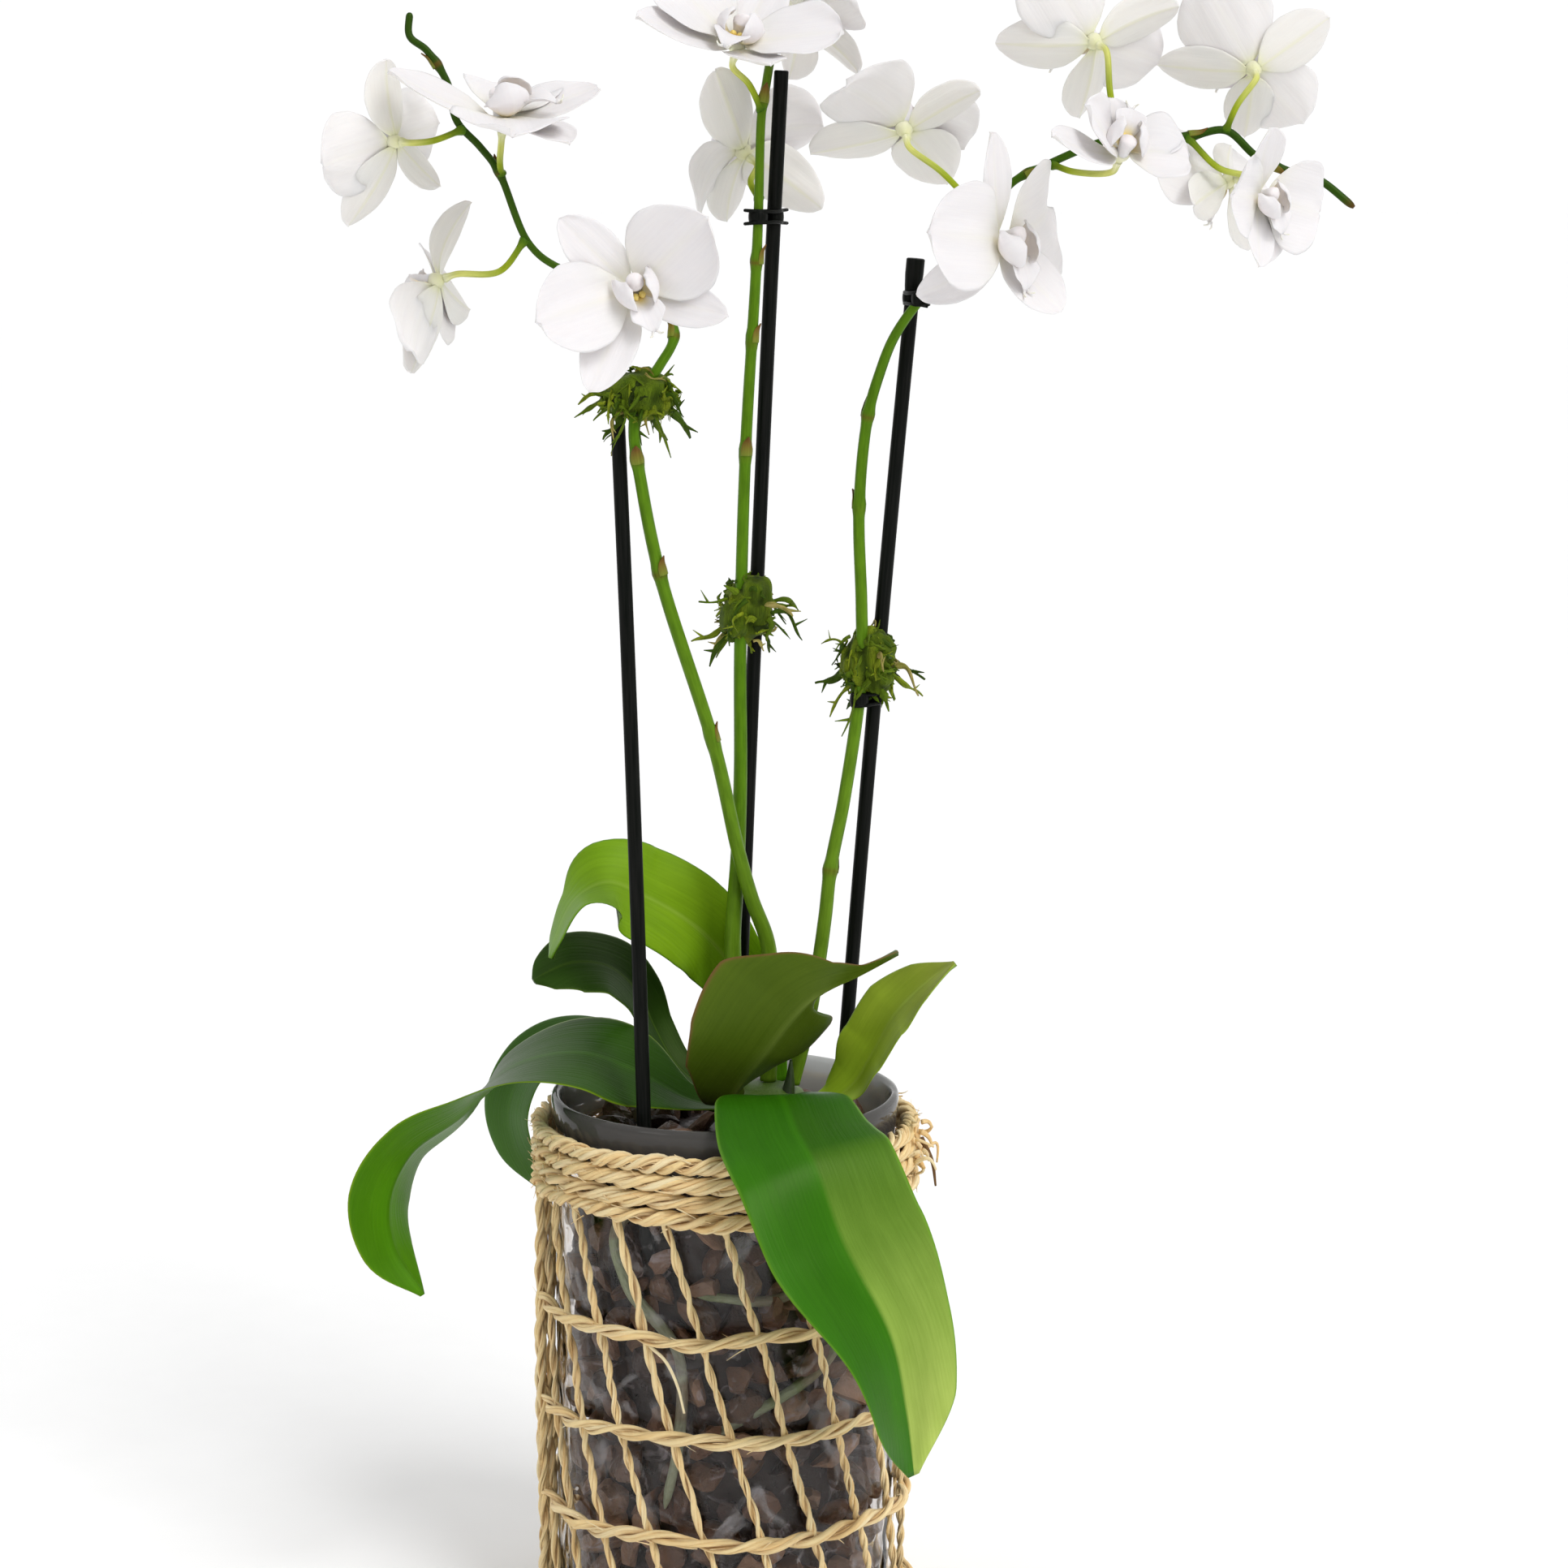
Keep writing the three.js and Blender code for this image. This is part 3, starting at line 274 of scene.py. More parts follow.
# Materials
class Shader:
    """A procedural material round one Principled shader."""

    def __init__(self, name, **settings):
        self.material = bpy.data.materials.new(name)
        self.material.use_nodes = True
        self.tree = self.material.node_tree
        self.look(**settings)

    def look(self, **inputs):
        """Sets or links the shader's own sockets, named with _ for a space."""
        self.fill(self.tree.nodes["Principled BSDF"], {key.replace("_", " "): inputs[key] for key in inputs})
        return self.material

    def fill(self, node, inputs):
        for key, value in inputs.items():
            target = node.inputs[key]
            if isinstance(value, bpy.types.NodeSocket):
                self.tree.links.new(value, target)
            else:
                target.default_value = (*value, 1) if target.type == "RGBA" and np.ndim(value) else value

    def node(self, kind, inputs, **settings):
        made = self.tree.nodes.new(kind)
        for key, value in settings.items():
            setattr(made, key, value)
        self.fill(made, inputs)
        return made.outputs

    def attribute(self, name, output):
        return self.node("ShaderNodeAttribute", {}, attribute_name=name)[output]

    def object_place(self):
        return self.node("ShaderNodeTexCoord", {})["Object"]

    def noise(self, vector, scale, detail=3, roughness=0.5, distortion=0):
        return self.node("ShaderNodeTexNoise", {"Vector": vector, "Scale": scale, "Detail": detail,
                                                "Roughness": roughness, "Distortion": distortion})["Fac"]

    def grain(self, fine, coarse, detail=3, roughness=0.5):
        """Noise that is fine across the grain and coarse along it."""
        place = {"Vector": self.attribute("grain", "Vector"), "Scale": (fine, fine, coarse)}
        return self.noise(self.node("ShaderNodeMapping", place)["Vector"], 1, detail, roughness)

    def ramp(self, factor, stops):
        made = self.tree.nodes.new("ShaderNodeValToRGB")
        elements = made.color_ramp.elements
        while len(elements) < len(stops):
            elements.new(0.5)
        for element, (place, colour) in zip(elements, stops):
            element.position = place
            element.color = (*np.broadcast_to(colour, 3), 1)
        self.fill(made, {"Fac": factor})
        return made.outputs["Color"]

    def mix(self, factor, a, b, how="MIX"):
        return self.node("ShaderNodeMix", {0: factor, 6: a, 7: b}, data_type="RGBA", blend_type=how)[2]

    def stained(self, *layers):
        """The painted colour times layers of noise, each with its strength and its ramp."""
        colour = self.attribute("paint", "Color")
        for strength, noise, stops in layers:
            colour = self.mix(strength, colour, self.ramp(noise, stops), "MULTIPLY")
        return colour

    def bump(self, height, distance, strength, under=None):
        inputs = {"Distance": distance, "Strength": strength, "Height": height}
        if under is not None:
            inputs["Normal"] = under
        return self.node("ShaderNodeBump", inputs)["Normal"]


def glass_material():
    made = Shader("clear_glass", IOR=1.24)
    place = made.object_place()
    # Painted reflections: pale lilac-grey blotches on the glass, less clear and rougher where they lie.
    painted_reflections = made.ramp(made.noise(place, 55, 3, 0.5, 1.2), [(0.60, 0), (0.72, 1)])
    parts = made.node("ShaderNodeSeparateXYZ", {0: place})
    rim = made.ramp(parts["Z"], [(0.181, 0), (0.189, 1)])
    # Painted reflection: the rim band is painted dark on its front half and pale grey at the back.
    rim_painted_reflection = made.ramp(parts["Y"], [(0, (0.10, 0.095, 0.09)), (0.045, (0.62, 0.63, 0.63))])
    body = made.mix(painted_reflections, (0.90, 0.88, 0.87), (0.60, 0.58, 0.62))
    clear = made.ramp(painted_reflections, [(0, 1), (1, 0.72)])
    return made.look(Base_Color=made.mix(rim, body, rim_painted_reflection),
                     Transmission_Weight=made.mix(rim, clear, (0.35, 0.35, 0.35)),
                     Roughness=made.ramp(painted_reflections, [(0, 0), (1, 0.25)]),
                     Normal=made.bump(made.noise(place, 30, 2), 0.002, 0.8))


def straw_material():
    made = Shader("straw_rope", Roughness=0.7, Sheen_Weight=0.1, Specular_IOR_Level=0.3)
    fibre = made.grain(3.2, 0.2, 4, 0.6)
    tones = [(0.28, (0.84, 0.74, 0.58)), (0.42, (1.0, 0.98, 0.95)), (0.6, 1)]
    stains = [(0.36, (0.86, 0.70, 0.52)), (0.50, 1)]
    return made.look(Base_Color=made.stained((0.8, fibre, tones), (0.35, made.grain(0.35, 0.07, 2), stains)),
                     Roughness=made.ramp(fibre, [(0.2, 0.85), (0.8, 0.5)]),
                     Normal=made.bump(fibre, 0.0006, 0.9))


def bark_material():
    made = Shader("bark_chunks", Specular_IOR_Level=0.5)
    place = made.object_place()
    coarse = made.noise(place, 150, 5, 0.62)
    layers = made.noise(place, 480, 3, 0.6)
    # Painted highlight: blotches of the bark colour mixed halfway to lilac grey.
    painted_sheen = made.ramp(made.noise(place, 90, 3, 0.5, 1.5), [(0.60, 0), (0.70, 1)])
    colour = made.stained((0.75, coarse, [(0.3, 0.4), (0.7, 1.1)]))
    return made.look(Base_Color=made.mix(painted_sheen, colour, made.mix(0.55, colour, (0.52, 0.47, 0.50))),
                     Roughness=made.ramp(coarse, [(0.35, 0.22), (0.65, 0.7)]),
                     Normal=made.bump(layers, 0.0006, 0.7, made.bump(coarse, 0.0018, 0.8)))


def root_material():
    made = Shader("aerial_root", Roughness=0.5)
    skin = made.grain(1.2, 0.35, 4, 0.6)
    return made.look(Base_Color=made.stained((0.8, skin, [(0.3, (0.62, 0.62, 0.58)), (0.6, 1)])),
                     Normal=made.bump(skin, 0.0005, 0.7))


def leaf_material():
    made = Shader("waxy_leaf", Specular_IOR_Level=0.2, Specular_Tint=(0.74, 0.88, 0.42))
    veins = made.grain(1.1, 0.03)
    patch = made.grain(0.09, 0.035)
    return made.look(Base_Color=made.stained((1, veins, [(0.3, (0.86, 0.88, 0.80)), (0.7, 1)]),
                                             (1, patch, [(0.35, (0.84, 0.88, 0.78)), (0.65, 1)])),
                     Roughness=made.ramp(patch, [(0.3, 0.36), (0.7, 0.46)]),
                     Normal=made.bump(made.grain(6, 6, 2), 0.00006, 0.5, made.bump(veins, 0.0004, 0.35)))


def stem_material():
    made = Shader("flower_stem", Roughness=0.42, Specular_IOR_Level=0.18, Specular_Tint=(0.8, 0.9, 0.45))
    streak = made.grain(1.6, 0.06)
    patch = made.grain(0.5, 0.12)
    return made.look(Base_Color=made.stained((1, streak, [(0.3, (0.80, 0.82, 0.72)), (0.7, 1)]),
                                             (1, patch, [(0.35, (0.78, 0.80, 0.70)), (0.6, 1)])),
                     Normal=made.bump(streak, 0.0002, 0.5))


def petal_material():
    made = Shader("white_petal", Roughness=0.55, Specular_IOR_Level=0.25, Subsurface_Weight=0.25,
                  Subsurface_Scale=0.002, Subsurface_Radius=(1.0, 0.85, 0.75))
    veins = made.grain(0.9, 0.05, 3, 0.55)
    return made.look(Base_Color=made.stained((1, veins, [(0.3, (0.975, 0.97, 0.98)), (0.65, 1)])),
                     Roughness=made.ramp(veins, [(0.3, 0.56), (0.7, 0.44)]),
                     Normal=made.bump(made.grain(5, 5, 2), 0.00008, 0.5, made.bump(veins, 0.0005, 0.25)))


def plastic_material():
    made = Shader("black_plastic", Roughness=0.4, Specular_IOR_Level=0.06)
    scuff = made.grain(1.4, 0.05, 4)
    blacks = [(0.35, (0.003, 0.004, 0.003)), (0.75, (0.010, 0.010, 0.009))]
    return made.look(Base_Color=made.ramp(scuff, blacks),
                     Roughness=made.ramp(scuff, [(0.3, 0.30), (0.7, 0.48)]),
                     Normal=made.bump(scuff, 0.0002, 0.4))


def moss_material():
    made = Shader("moss_tie", Roughness=0.6, Specular_IOR_Level=0.3, Specular_Tint=(0.85, 0.9, 0.4))
    fibre = made.grain(2.2, 0.16, 4, 0.6)
    patch = made.grain(0.3, 0.12)
    return made.look(Base_Color=made.stained((0.9, fibre, [(0.3, (0.40, 0.40, 0.22)), (0.6, 1)]),
                                             (0.8, patch, [(0.35, (0.50, 0.62, 0.30)), (0.6, 1)])),
                     Normal=made.bump(fibre, 0.0008, 0.9))


GLASS, STRAW, BARK, ROOT = glass_material(), straw_material(), bark_material(), root_material()
LEAF, STEM, PETAL = leaf_material(), stem_material(), petal_material()
PLASTIC, MOSS = plastic_material(), moss_material()

# Glass vase
VASE_HEIGHT, VASE_RADIUS, VASE_INNER, VASE_FLOOR, RIM_RADIUS = 201, 63, 60, 7, 64.2


def glass_vase():
    piece = Piece()
    corner = [(58.5, 0.0), (60.6, 0.5), (62.2, 1.8), (63.0, 4.0)]
    wall = [(63.0, z) for z in np.linspace(12, VASE_HEIGHT - 14, 12)]
    rim = [(63.5, 190.5), (64.0, 194), (64.25, 197), (64.2, 199.2), (63.6, 200.6), (62.6, 201), (61.6, 200.6),
           (60.9, 199), (60.3, 196.5), (60, 193)]
    inner = [(60.0, z) for z in np.linspace(VASE_HEIGHT - 14, VASE_FLOOR + 7, 12)]
    bottom = [(59.3, 10.4), (57.6, 8.2), (55, 7.1), (30, 7)]

    def wobble(turns, z):
        turns = np.radians(turns)
        return 0.14 * (z / VASE_HEIGHT) ** 2 * (np.sin(5 * turns + 1) + 0.7 * np.sin(9 * turns + z / 30))

    profile = [(0, 0), (30, 0)] + corner + wall + rim + inner + bottom + [(0, 7)]
    lathe(piece, profile, 112, (0.8, 0.8, 0.8), wobble)
    piece.make("vase_glass", GLASS, ["glass_vase"])


# Straw net. A rope's form: plies, how far they lie off its middle, strands in a ply, how far off it, radius
STRAW_LIGHT, STRAW_MID, STRAW_DARK, STRAW_DEEP = map(linear, ("#FFF0C6", "#FFE4A8", "#F3CA88", "#AC7C44"))
CORD_COUNT, CORD_LEAN, CORD_TOP, CORD_RADIUS, CORD_FORM = 20, 0.254, 169, 65.7, (2, 0.75, 3, 0.42, 0.62)
BUNCH_AT, BUNCH_TOP, BUNCH_RADIUS, BUNCH_FORM = (176, 183, 189), 174, CORD_RADIUS + 2.9, (2, 0.9, 3, 0.5, 0.7)
ROW_HEIGHTS, ROW_RADIUS, ROW_FORM = (125, 88, 50), 67.4, (2, 1.3, 3, 0.75, 0.95)
BASE_HEIGHT, BASE_RADIUS, BASE_FORM = 10, 68.2, (3, 1.8, 3, 0.8, 1.15)
BAND_HEIGHTS, BAND_RADIUS, BAND_FORM = (169.8, 176.4, 183, 189.6), 68.6, (3, 1.75, 4, 0.85, 0.95)
STRAND_SIDES = 5


def strand(piece, rng, path, middle, radius, tones):
    """One fibrous strand of a rope: ridged, uneven, light outside, with painted shade on its side that faces
    the rope's middle, where the strands meet.
    """
    count = len(path)
    ridges = np.stack([drift(rng, count, max(4, count // 7)) for _ in range(STRAND_SIDES)], axis=1)
    swell = 1 + 0.25 * drift(rng, count, max(3, count // 14))
    size = radius * swell[:, None] * (1 + 0.22 * ridges)
    shade = 0.5 + 0.5 * drift(rng, count, max(3, count // 16))[:, None] * np.ones(STRAND_SIDES)
    colour = blend(tones[1], tones[0], shade)
    across, beside = frames(path)
    turn = 2 * np.pi * np.arange(STRAND_SIDES) / STRAND_SIDES
    outward = across[:, None] * np.cos(turn)[None, :, None] + beside[:, None] * np.sin(turn)[None, :, None]
    # Painted shade: the side of each strand that faces the rope's middle is blended towards STRAW_DEEP.
    facing = np.einsum("ijk,ik->ij", outward, unit(path - middle))
    colour = blend(colour, tones[2], np.clip(0.1 - facing, 0, 1) * 0.8)
    tube(piece, path, size, STRAND_SIDES, colour, rng.uniform(0, 50))


def rope(piece, rng, middle, first, second, form, pitch, phase):
    """Plies of strands twisted round a middle line. first and second are unit vectors across it."""
    plies, offset, strands, spread, radius = form
    run = distance_along(middle)
    count = len(run)

    def twisted(centre, reach, turn):
        return centre + first * (reach * np.cos(turn))[:, None] + second * (reach * np.sin(turn))[:, None]

    for k in range(plies):
        turn = 2 * np.pi * (run / pitch + k / plies) + phase + 0.6 * drift(rng, count, max(3, count // 25))
        ply = twisted(middle, offset * (1 + 0.15 * drift(rng, count, max(3, count // 18))), turn)
        for j in range(strands):
            own = 2 * np.pi * (j / strands + run / (1.6 * pitch))
            own = own + 1.1 * drift(rng, count, max(3, count // 20))
            path = twisted(ply, spread * (1 + 0.4 * drift(rng, count, max(3, count // 12))), own)
            # The third tone, STRAW_DEEP, is the painted shade where strands meet.
            tones = (blend(STRAW_LIGHT, STRAW_MID, rng.uniform(0, 0.8)),
                     blend(STRAW_MID, STRAW_DARK, rng.uniform(0, 0.8)), STRAW_DEEP)
            strand(piece, rng, path, middle, radius * rng.uniform(0.8, 1.25), tones)


def cord(piece, rng, azimuth, z, radius, sway, stray, knots, form, pitches):
    """A rope that runs down the glass."""
    azimuth = azimuth + sway * drift(rng, len(z), knots)
    middle = around(azimuth, radius + stray * drift(rng, len(z), knots), z)
    radial = around(azimuth, 1, 0 * z)
    rope(piece, rng, middle, radial, np.cross(radial, UP), form, rng.uniform(*pitches), rng.uniform(0, 6))


def net_cords():
    piece = Piece()
    rng = np.random.default_rng(11)
    z = np.linspace(CORD_TOP + 1, BASE_HEIGHT - 2, 100)
    for number in range(CORD_COUNT):
        azimuth = 360 / CORD_COUNT * number + CORD_LEAN * (CORD_TOP - z)
        cord(piece, rng, azimuth, z, CORD_RADIUS, 0.9, 0.2, 6, CORD_FORM, (15, 24))
    for azimuth in BUNCH_AT:
        z = np.linspace(BUNCH_TOP, BASE_HEIGHT - 2, 100)
        cord(piece, rng, azimuth, z, BUNCH_RADIUS, 3.5, 0.5, 5, BUNCH_FORM, (18, 26))
    piece.make("net_cords", STRAW, ["rope_net"])


def level_rope(piece, rng, radius, z, count, wave, start, form, pitch, phase=0):
    """A rope that runs once round the vase from an azimuth."""
    azimuth = np.linspace(start, start + 360, count)
    height = z + np.sin(np.linspace(0, np.pi, count)) ** 0.3 * wave * drift(rng, count, 14)
    middle, radial = around(azimuth, radius, height), around(azimuth, 1, 0 * azimuth)
    rope(piece, rng, middle, radial, np.broadcast_to(UP, middle.shape), form, pitch, phase)


def net_rows():
    piece = Piece()
    rng = np.random.default_rng(12)
    cord_gap = 2 * np.pi * ROW_RADIUS / CORD_COUNT
    for i, z in enumerate(ROW_HEIGHTS):
        level_rope(piece, rng, ROW_RADIUS, z, 300, 1.7, 80 + 7 * i, ROW_FORM, 1.5 * cord_gap, i)
    level_rope(piece, rng, BASE_RADIUS, BASE_HEIGHT, 220, 0.3, 60, BASE_FORM, 34)
    piece.make("net_rows", STRAW, ["rope_net"])


def net_band():
    piece = Piece()
    rng = np.random.default_rng(13)
    for i, (z, pitch) in enumerate(zip(BAND_HEIGHTS, (24, 33, 28, 21))):
        level_rope(piece, rng, BAND_RADIUS, z, 250, 1.1, 95 + 20 * i, BAND_FORM, pitch, i)
    piece.make("net_band", STRAW, ["rope_net"])


FIBRE_COUNT = 560
KNOT_ENDS, KNOT_RADIUS, KNOT_HEIGHT, KNOT_AZIMUTH = 26, 71.5, 187, -8


def net_fibres():
    """Loose ends of straw that stand off the ropes, and the knot where the band is tied."""
    piece = Piece()
    rng = np.random.default_rng(14)
    homes = [(z, BAND_RADIUS + 2.9, 3.4) for z in BAND_HEIGHTS] * 3
    homes += [(z, ROW_RADIUS + 2.2, 2.2) for z in ROW_HEIGHTS]
    for number in range(FIBRE_COUNT):
        z, radius, half = homes[number % len(homes)]
        azimuth = rng.uniform(0, 360)
        length = rng.uniform(2.5, 9)
        start = around(azimuth, radius - rng.uniform(0.2, 2), z + rng.uniform(-half, half))
        tangent = around(azimuth + 90, 1, 0) * rng.choice([-1, 1])
        lean = tangent + np.array([0, 0, rng.uniform(-0.6, 0.5)]) + around(azimuth, rng.uniform(0.02, 0.3), 0)
        curl = rng.normal(0, 0.35, 3)
        share = steps(6)[:, None]
        path = start + unit(lean) * length * share + curl * length * share**2 * 0.4
        thick = rng.uniform(0.14, 0.4) * (1 - 0.7 * share[:, 0])
        tube(piece, path, thick, 4, blend(STRAW_LIGHT, STRAW_DARK, rng.uniform(0, 0.8)), number)
    for number in range(KNOT_ENDS):
        azimuth = KNOT_AZIMUTH + rng.uniform(-6, 6)
        start = around(azimuth, KNOT_RADIUS + rng.uniform(-2, 2.5), KNOT_HEIGHT + rng.uniform(-13, 7))
        lean = around(azimuth, rng.uniform(0.1, 0.7), 0) + rng.normal(0, 0.55, 3) + np.array([0, 0, -0.5])
        lean = unit(lean)
        share = steps(10)[:, None]
        length = rng.uniform(3, 8.5)
        path = start + lean * length * share
        path = path + np.cross(lean, rng.normal(0, 1, 3)) * length * 0.3 * np.sin(3 * share)
        thick = rng.uniform(0.7, 1.5) * (1 - 0.6 * share[:, 0])
        tube(piece, path, thick, 6, blend(STRAW_LIGHT, STRAW_DARK, rng.uniform(0, 1)), number, 0.7)
    twig = Smooth([around(-8, 73, 185), around(-7, 77, 176), around(-8, 78.5, 167)]).at(steps(12))
    tube(piece, twig, np.linspace(1.1, 0.4, 12), 7, STRAW_DEEP * 0.4, 3)
    bends = [(-114, 65.6, 122), (-108, 66.2, 117), (-104, 66.4, 108), (-102, 66, 98)]
    strip = Smooth([around(*bend) for bend in bends]).at(steps(24))
    tube(piece, strip, np.linspace(0.8, 0.5, 24), 6, STRAW_LIGHT, 5, 0.5)
    piece.make("net_loose_straw", STRAW, ["rope_net"])


# Roots and crown
CROWN_AT = (15.0, -2)
ROOT_THICK = 4.8
NEAR_GLASS = VASE_INNER * math.cos(math.pi / 28) - 1.2 - ROOT_THICK / 2
ROOT_ROUTES = [
    [(-115, 22, 176), (-128, 45, 170), (-133, NEAR_GLASS, 158), (-126, NEAR_GLASS, 138),
     (-107, NEAR_GLASS, 118), (-106, NEAR_GLASS, 88), (-112, NEAR_GLASS, 58)],
    [(-60, 22, 172), (-48, 45, 165), (-52, NEAR_GLASS, 148), (-69, NEAR_GLASS, 137), (-100, NEAR_GLASS, 139)],
    [(-15, 28, 170), (-25, 46, 158), (-34, NEAR_GLASS, 136), (-50, NEAR_GLASS, 110), (-96, NEAR_GLASS, 85)],
    [(70, 24, 172), (80, 46, 158), (95, NEAR_GLASS, 130), (88, NEAR_GLASS, 100), (75, NEAR_GLASS, 60)],
    [(165, 20, 174), (160, 46, 164), (158, NEAR_GLASS, 140), (170, NEAR_GLASS, 110), (150, NEAR_GLASS, 70)],
]
ROOT_SILVER, ROOT_GREEN, ROOT_BROWN = map(linear, ("#BCC2AC", "#8FA06C", "#8A705A"))
CROWN_BROWN, CROWN_GREEN, SPROUT_LOW, SPROUT_HIGH = map(linear, ("#4A3A26", "#4F6B20", "#1E2C0C", "#33481A"))


def root_paths():
    paths = []
    for route in ROOT_ROUTES:
        bends = [around(*bend) for bend in route]
        paths.append(Smooth([[*CROWN_AT, 178]] + bends).at(steps(90)))
    return paths


def crown_and_roots():
    piece = Piece()
    rng = np.random.default_rng(21)
    for number, path in enumerate(root_paths()):
        share = steps(len(path))
        radius = ROOT_THICK / 2 * (1 - 0.25 * share**2) * (1 + 0.1 * drift(rng, len(path), 14))
        radius[-4:] *= np.array([0.95, 0.8, 0.55, 0.2])
        colour = blend(ROOT_SILVER, ROOT_GREEN, 0.5 + 0.5 * drift(rng, len(path), 8))
        colour = blend(colour, ROOT_BROWN, 0.6 * (drift(rng, len(path), 5) > 0.4))
        tube(piece, path, radius, 14, colour, number)
    z = np.linspace(158, 203, 24)
    share = (z - 158) / 45
    radius = 7.5 + 7.4 * np.clip(1.5 * share, 0, 1) ** 0.8
    radius[-3:] *= np.array([0.97, 0.88, 0.6])
    path = [(*CROWN_AT, height) for height in z]
    ridges = 1 + 0.05 * np.sin(5 * 2 * np.pi * np.arange(28) / 28)[None, :] * np.ones((24, 1))
    tube(piece, path, radius[:, None] * ridges, 28, blend(CROWN_BROWN, CROWN_GREEN, share), 31)
    sprout = Smooth([(23, -8, 199), (24, -8, 206), (24.5, -8, 214)]).at(steps(10))
    tube(piece, sprout, np.linspace(3, 0.5, 10), 10, blend(SPROUT_LOW, SPROUT_HIGH, steps(10)))
    piece.make("crown_with_roots", ROOT, ["crown_roots"])


# Bark filling
BARK_TOP, CHUNKS_ROUND, CHUNKS_ON_TOP = 186, 22, 90
BARK_TONES = list(map(linear, ("#6E4E3A", "#7C5E4C", "#A4826A", "#44302A", "#80604A")))


def unit_ball(level):
    work = bmesh.new()
    bmesh.ops.create_icosphere(work, subdivisions=level, radius=1)
    points = np.array([v.co[:] for v in work.verts])
    faces = [tuple(v.index for v in f.verts) for f in work.faces]
    work.free()
    return points, faces


def chunk(rng, ball, size):
    points = ball.copy()
    for _ in range(7):
        normal = unit(rng.normal(0, 1, 3))
        depth = rng.uniform(0.45, 0.85)
        over = np.maximum(points @ normal - depth, 0)
        points = points - over[:, None] * normal
    points = points * size
    turn, _ = np.linalg.qr(unit(rng.normal(0, 1, (3, 3))))
    return points @ turn.T


def bark_filling():
    piece = Piece()
    rng = np.random.default_rng(31)
    ball, faces = unit_ball(2)
    roots = np.vstack(root_paths())
    limit = VASE_INNER - 0.9
    places = []
    for z in np.arange(14, BARK_TOP, 11.5):
        start = rng.uniform(0, 360)
        for k in range(CHUNKS_ROUND):
            azimuth = start + 360 / CHUNKS_ROUND * (k + rng.uniform(-0.25, 0.25))
            places.append(around(azimuth, rng.uniform(51, 55), z + rng.uniform(-4, 4)))
    for _ in range(CHUNKS_ON_TOP):
        azimuth, radius = rng.uniform(0, 360), 52 * math.sqrt(rng.uniform(0, 1))
        places.append(around(azimuth, radius, BARK_TOP - 3 + rng.uniform(-4, 3)))
    for place in places:
        points = chunk(rng, ball, rng.uniform([6, 5, 3], [14, 10, 6.5])) + place
        reach = np.hypot(points[:, 0], points[:, 1])
        near = np.min(np.linalg.norm(points[:, None] - roots[None], axis=2), axis=1)
        allowed = np.where(near < 4.4, NEAR_GLASS - 3.2, limit)
        pull = np.minimum(1, allowed / np.maximum(reach, 1e-6))
        points[:, :2] *= pull[:, None]
        points[:, 2] = np.clip(points[:, 2], VASE_FLOOR + 0.4, None)
        tone = BARK_TONES[rng.integers(len(BARK_TONES))] * rng.uniform(0.7, 1.25)
        piece.add(points, faces, tone, points)
    # Painted shade: the core behind the chunks is painted darker than the darkest chunk tone, as shade in the
    # gaps between them.
    profile = [(0, 7.6), (46, 7.6), (50, 12), (50, 90), (50, 178), (44, 183), (0, 184)]
    lathe(piece, profile, 48, BARK_TONES[3] * 0.6)
    piece.make("bark_filling", BARK, ["bark_mix"], smooth=False)


glass_vase()
net_cords()
net_rows()
net_band()
net_fibres()
crown_and_roots()
bark_filling()

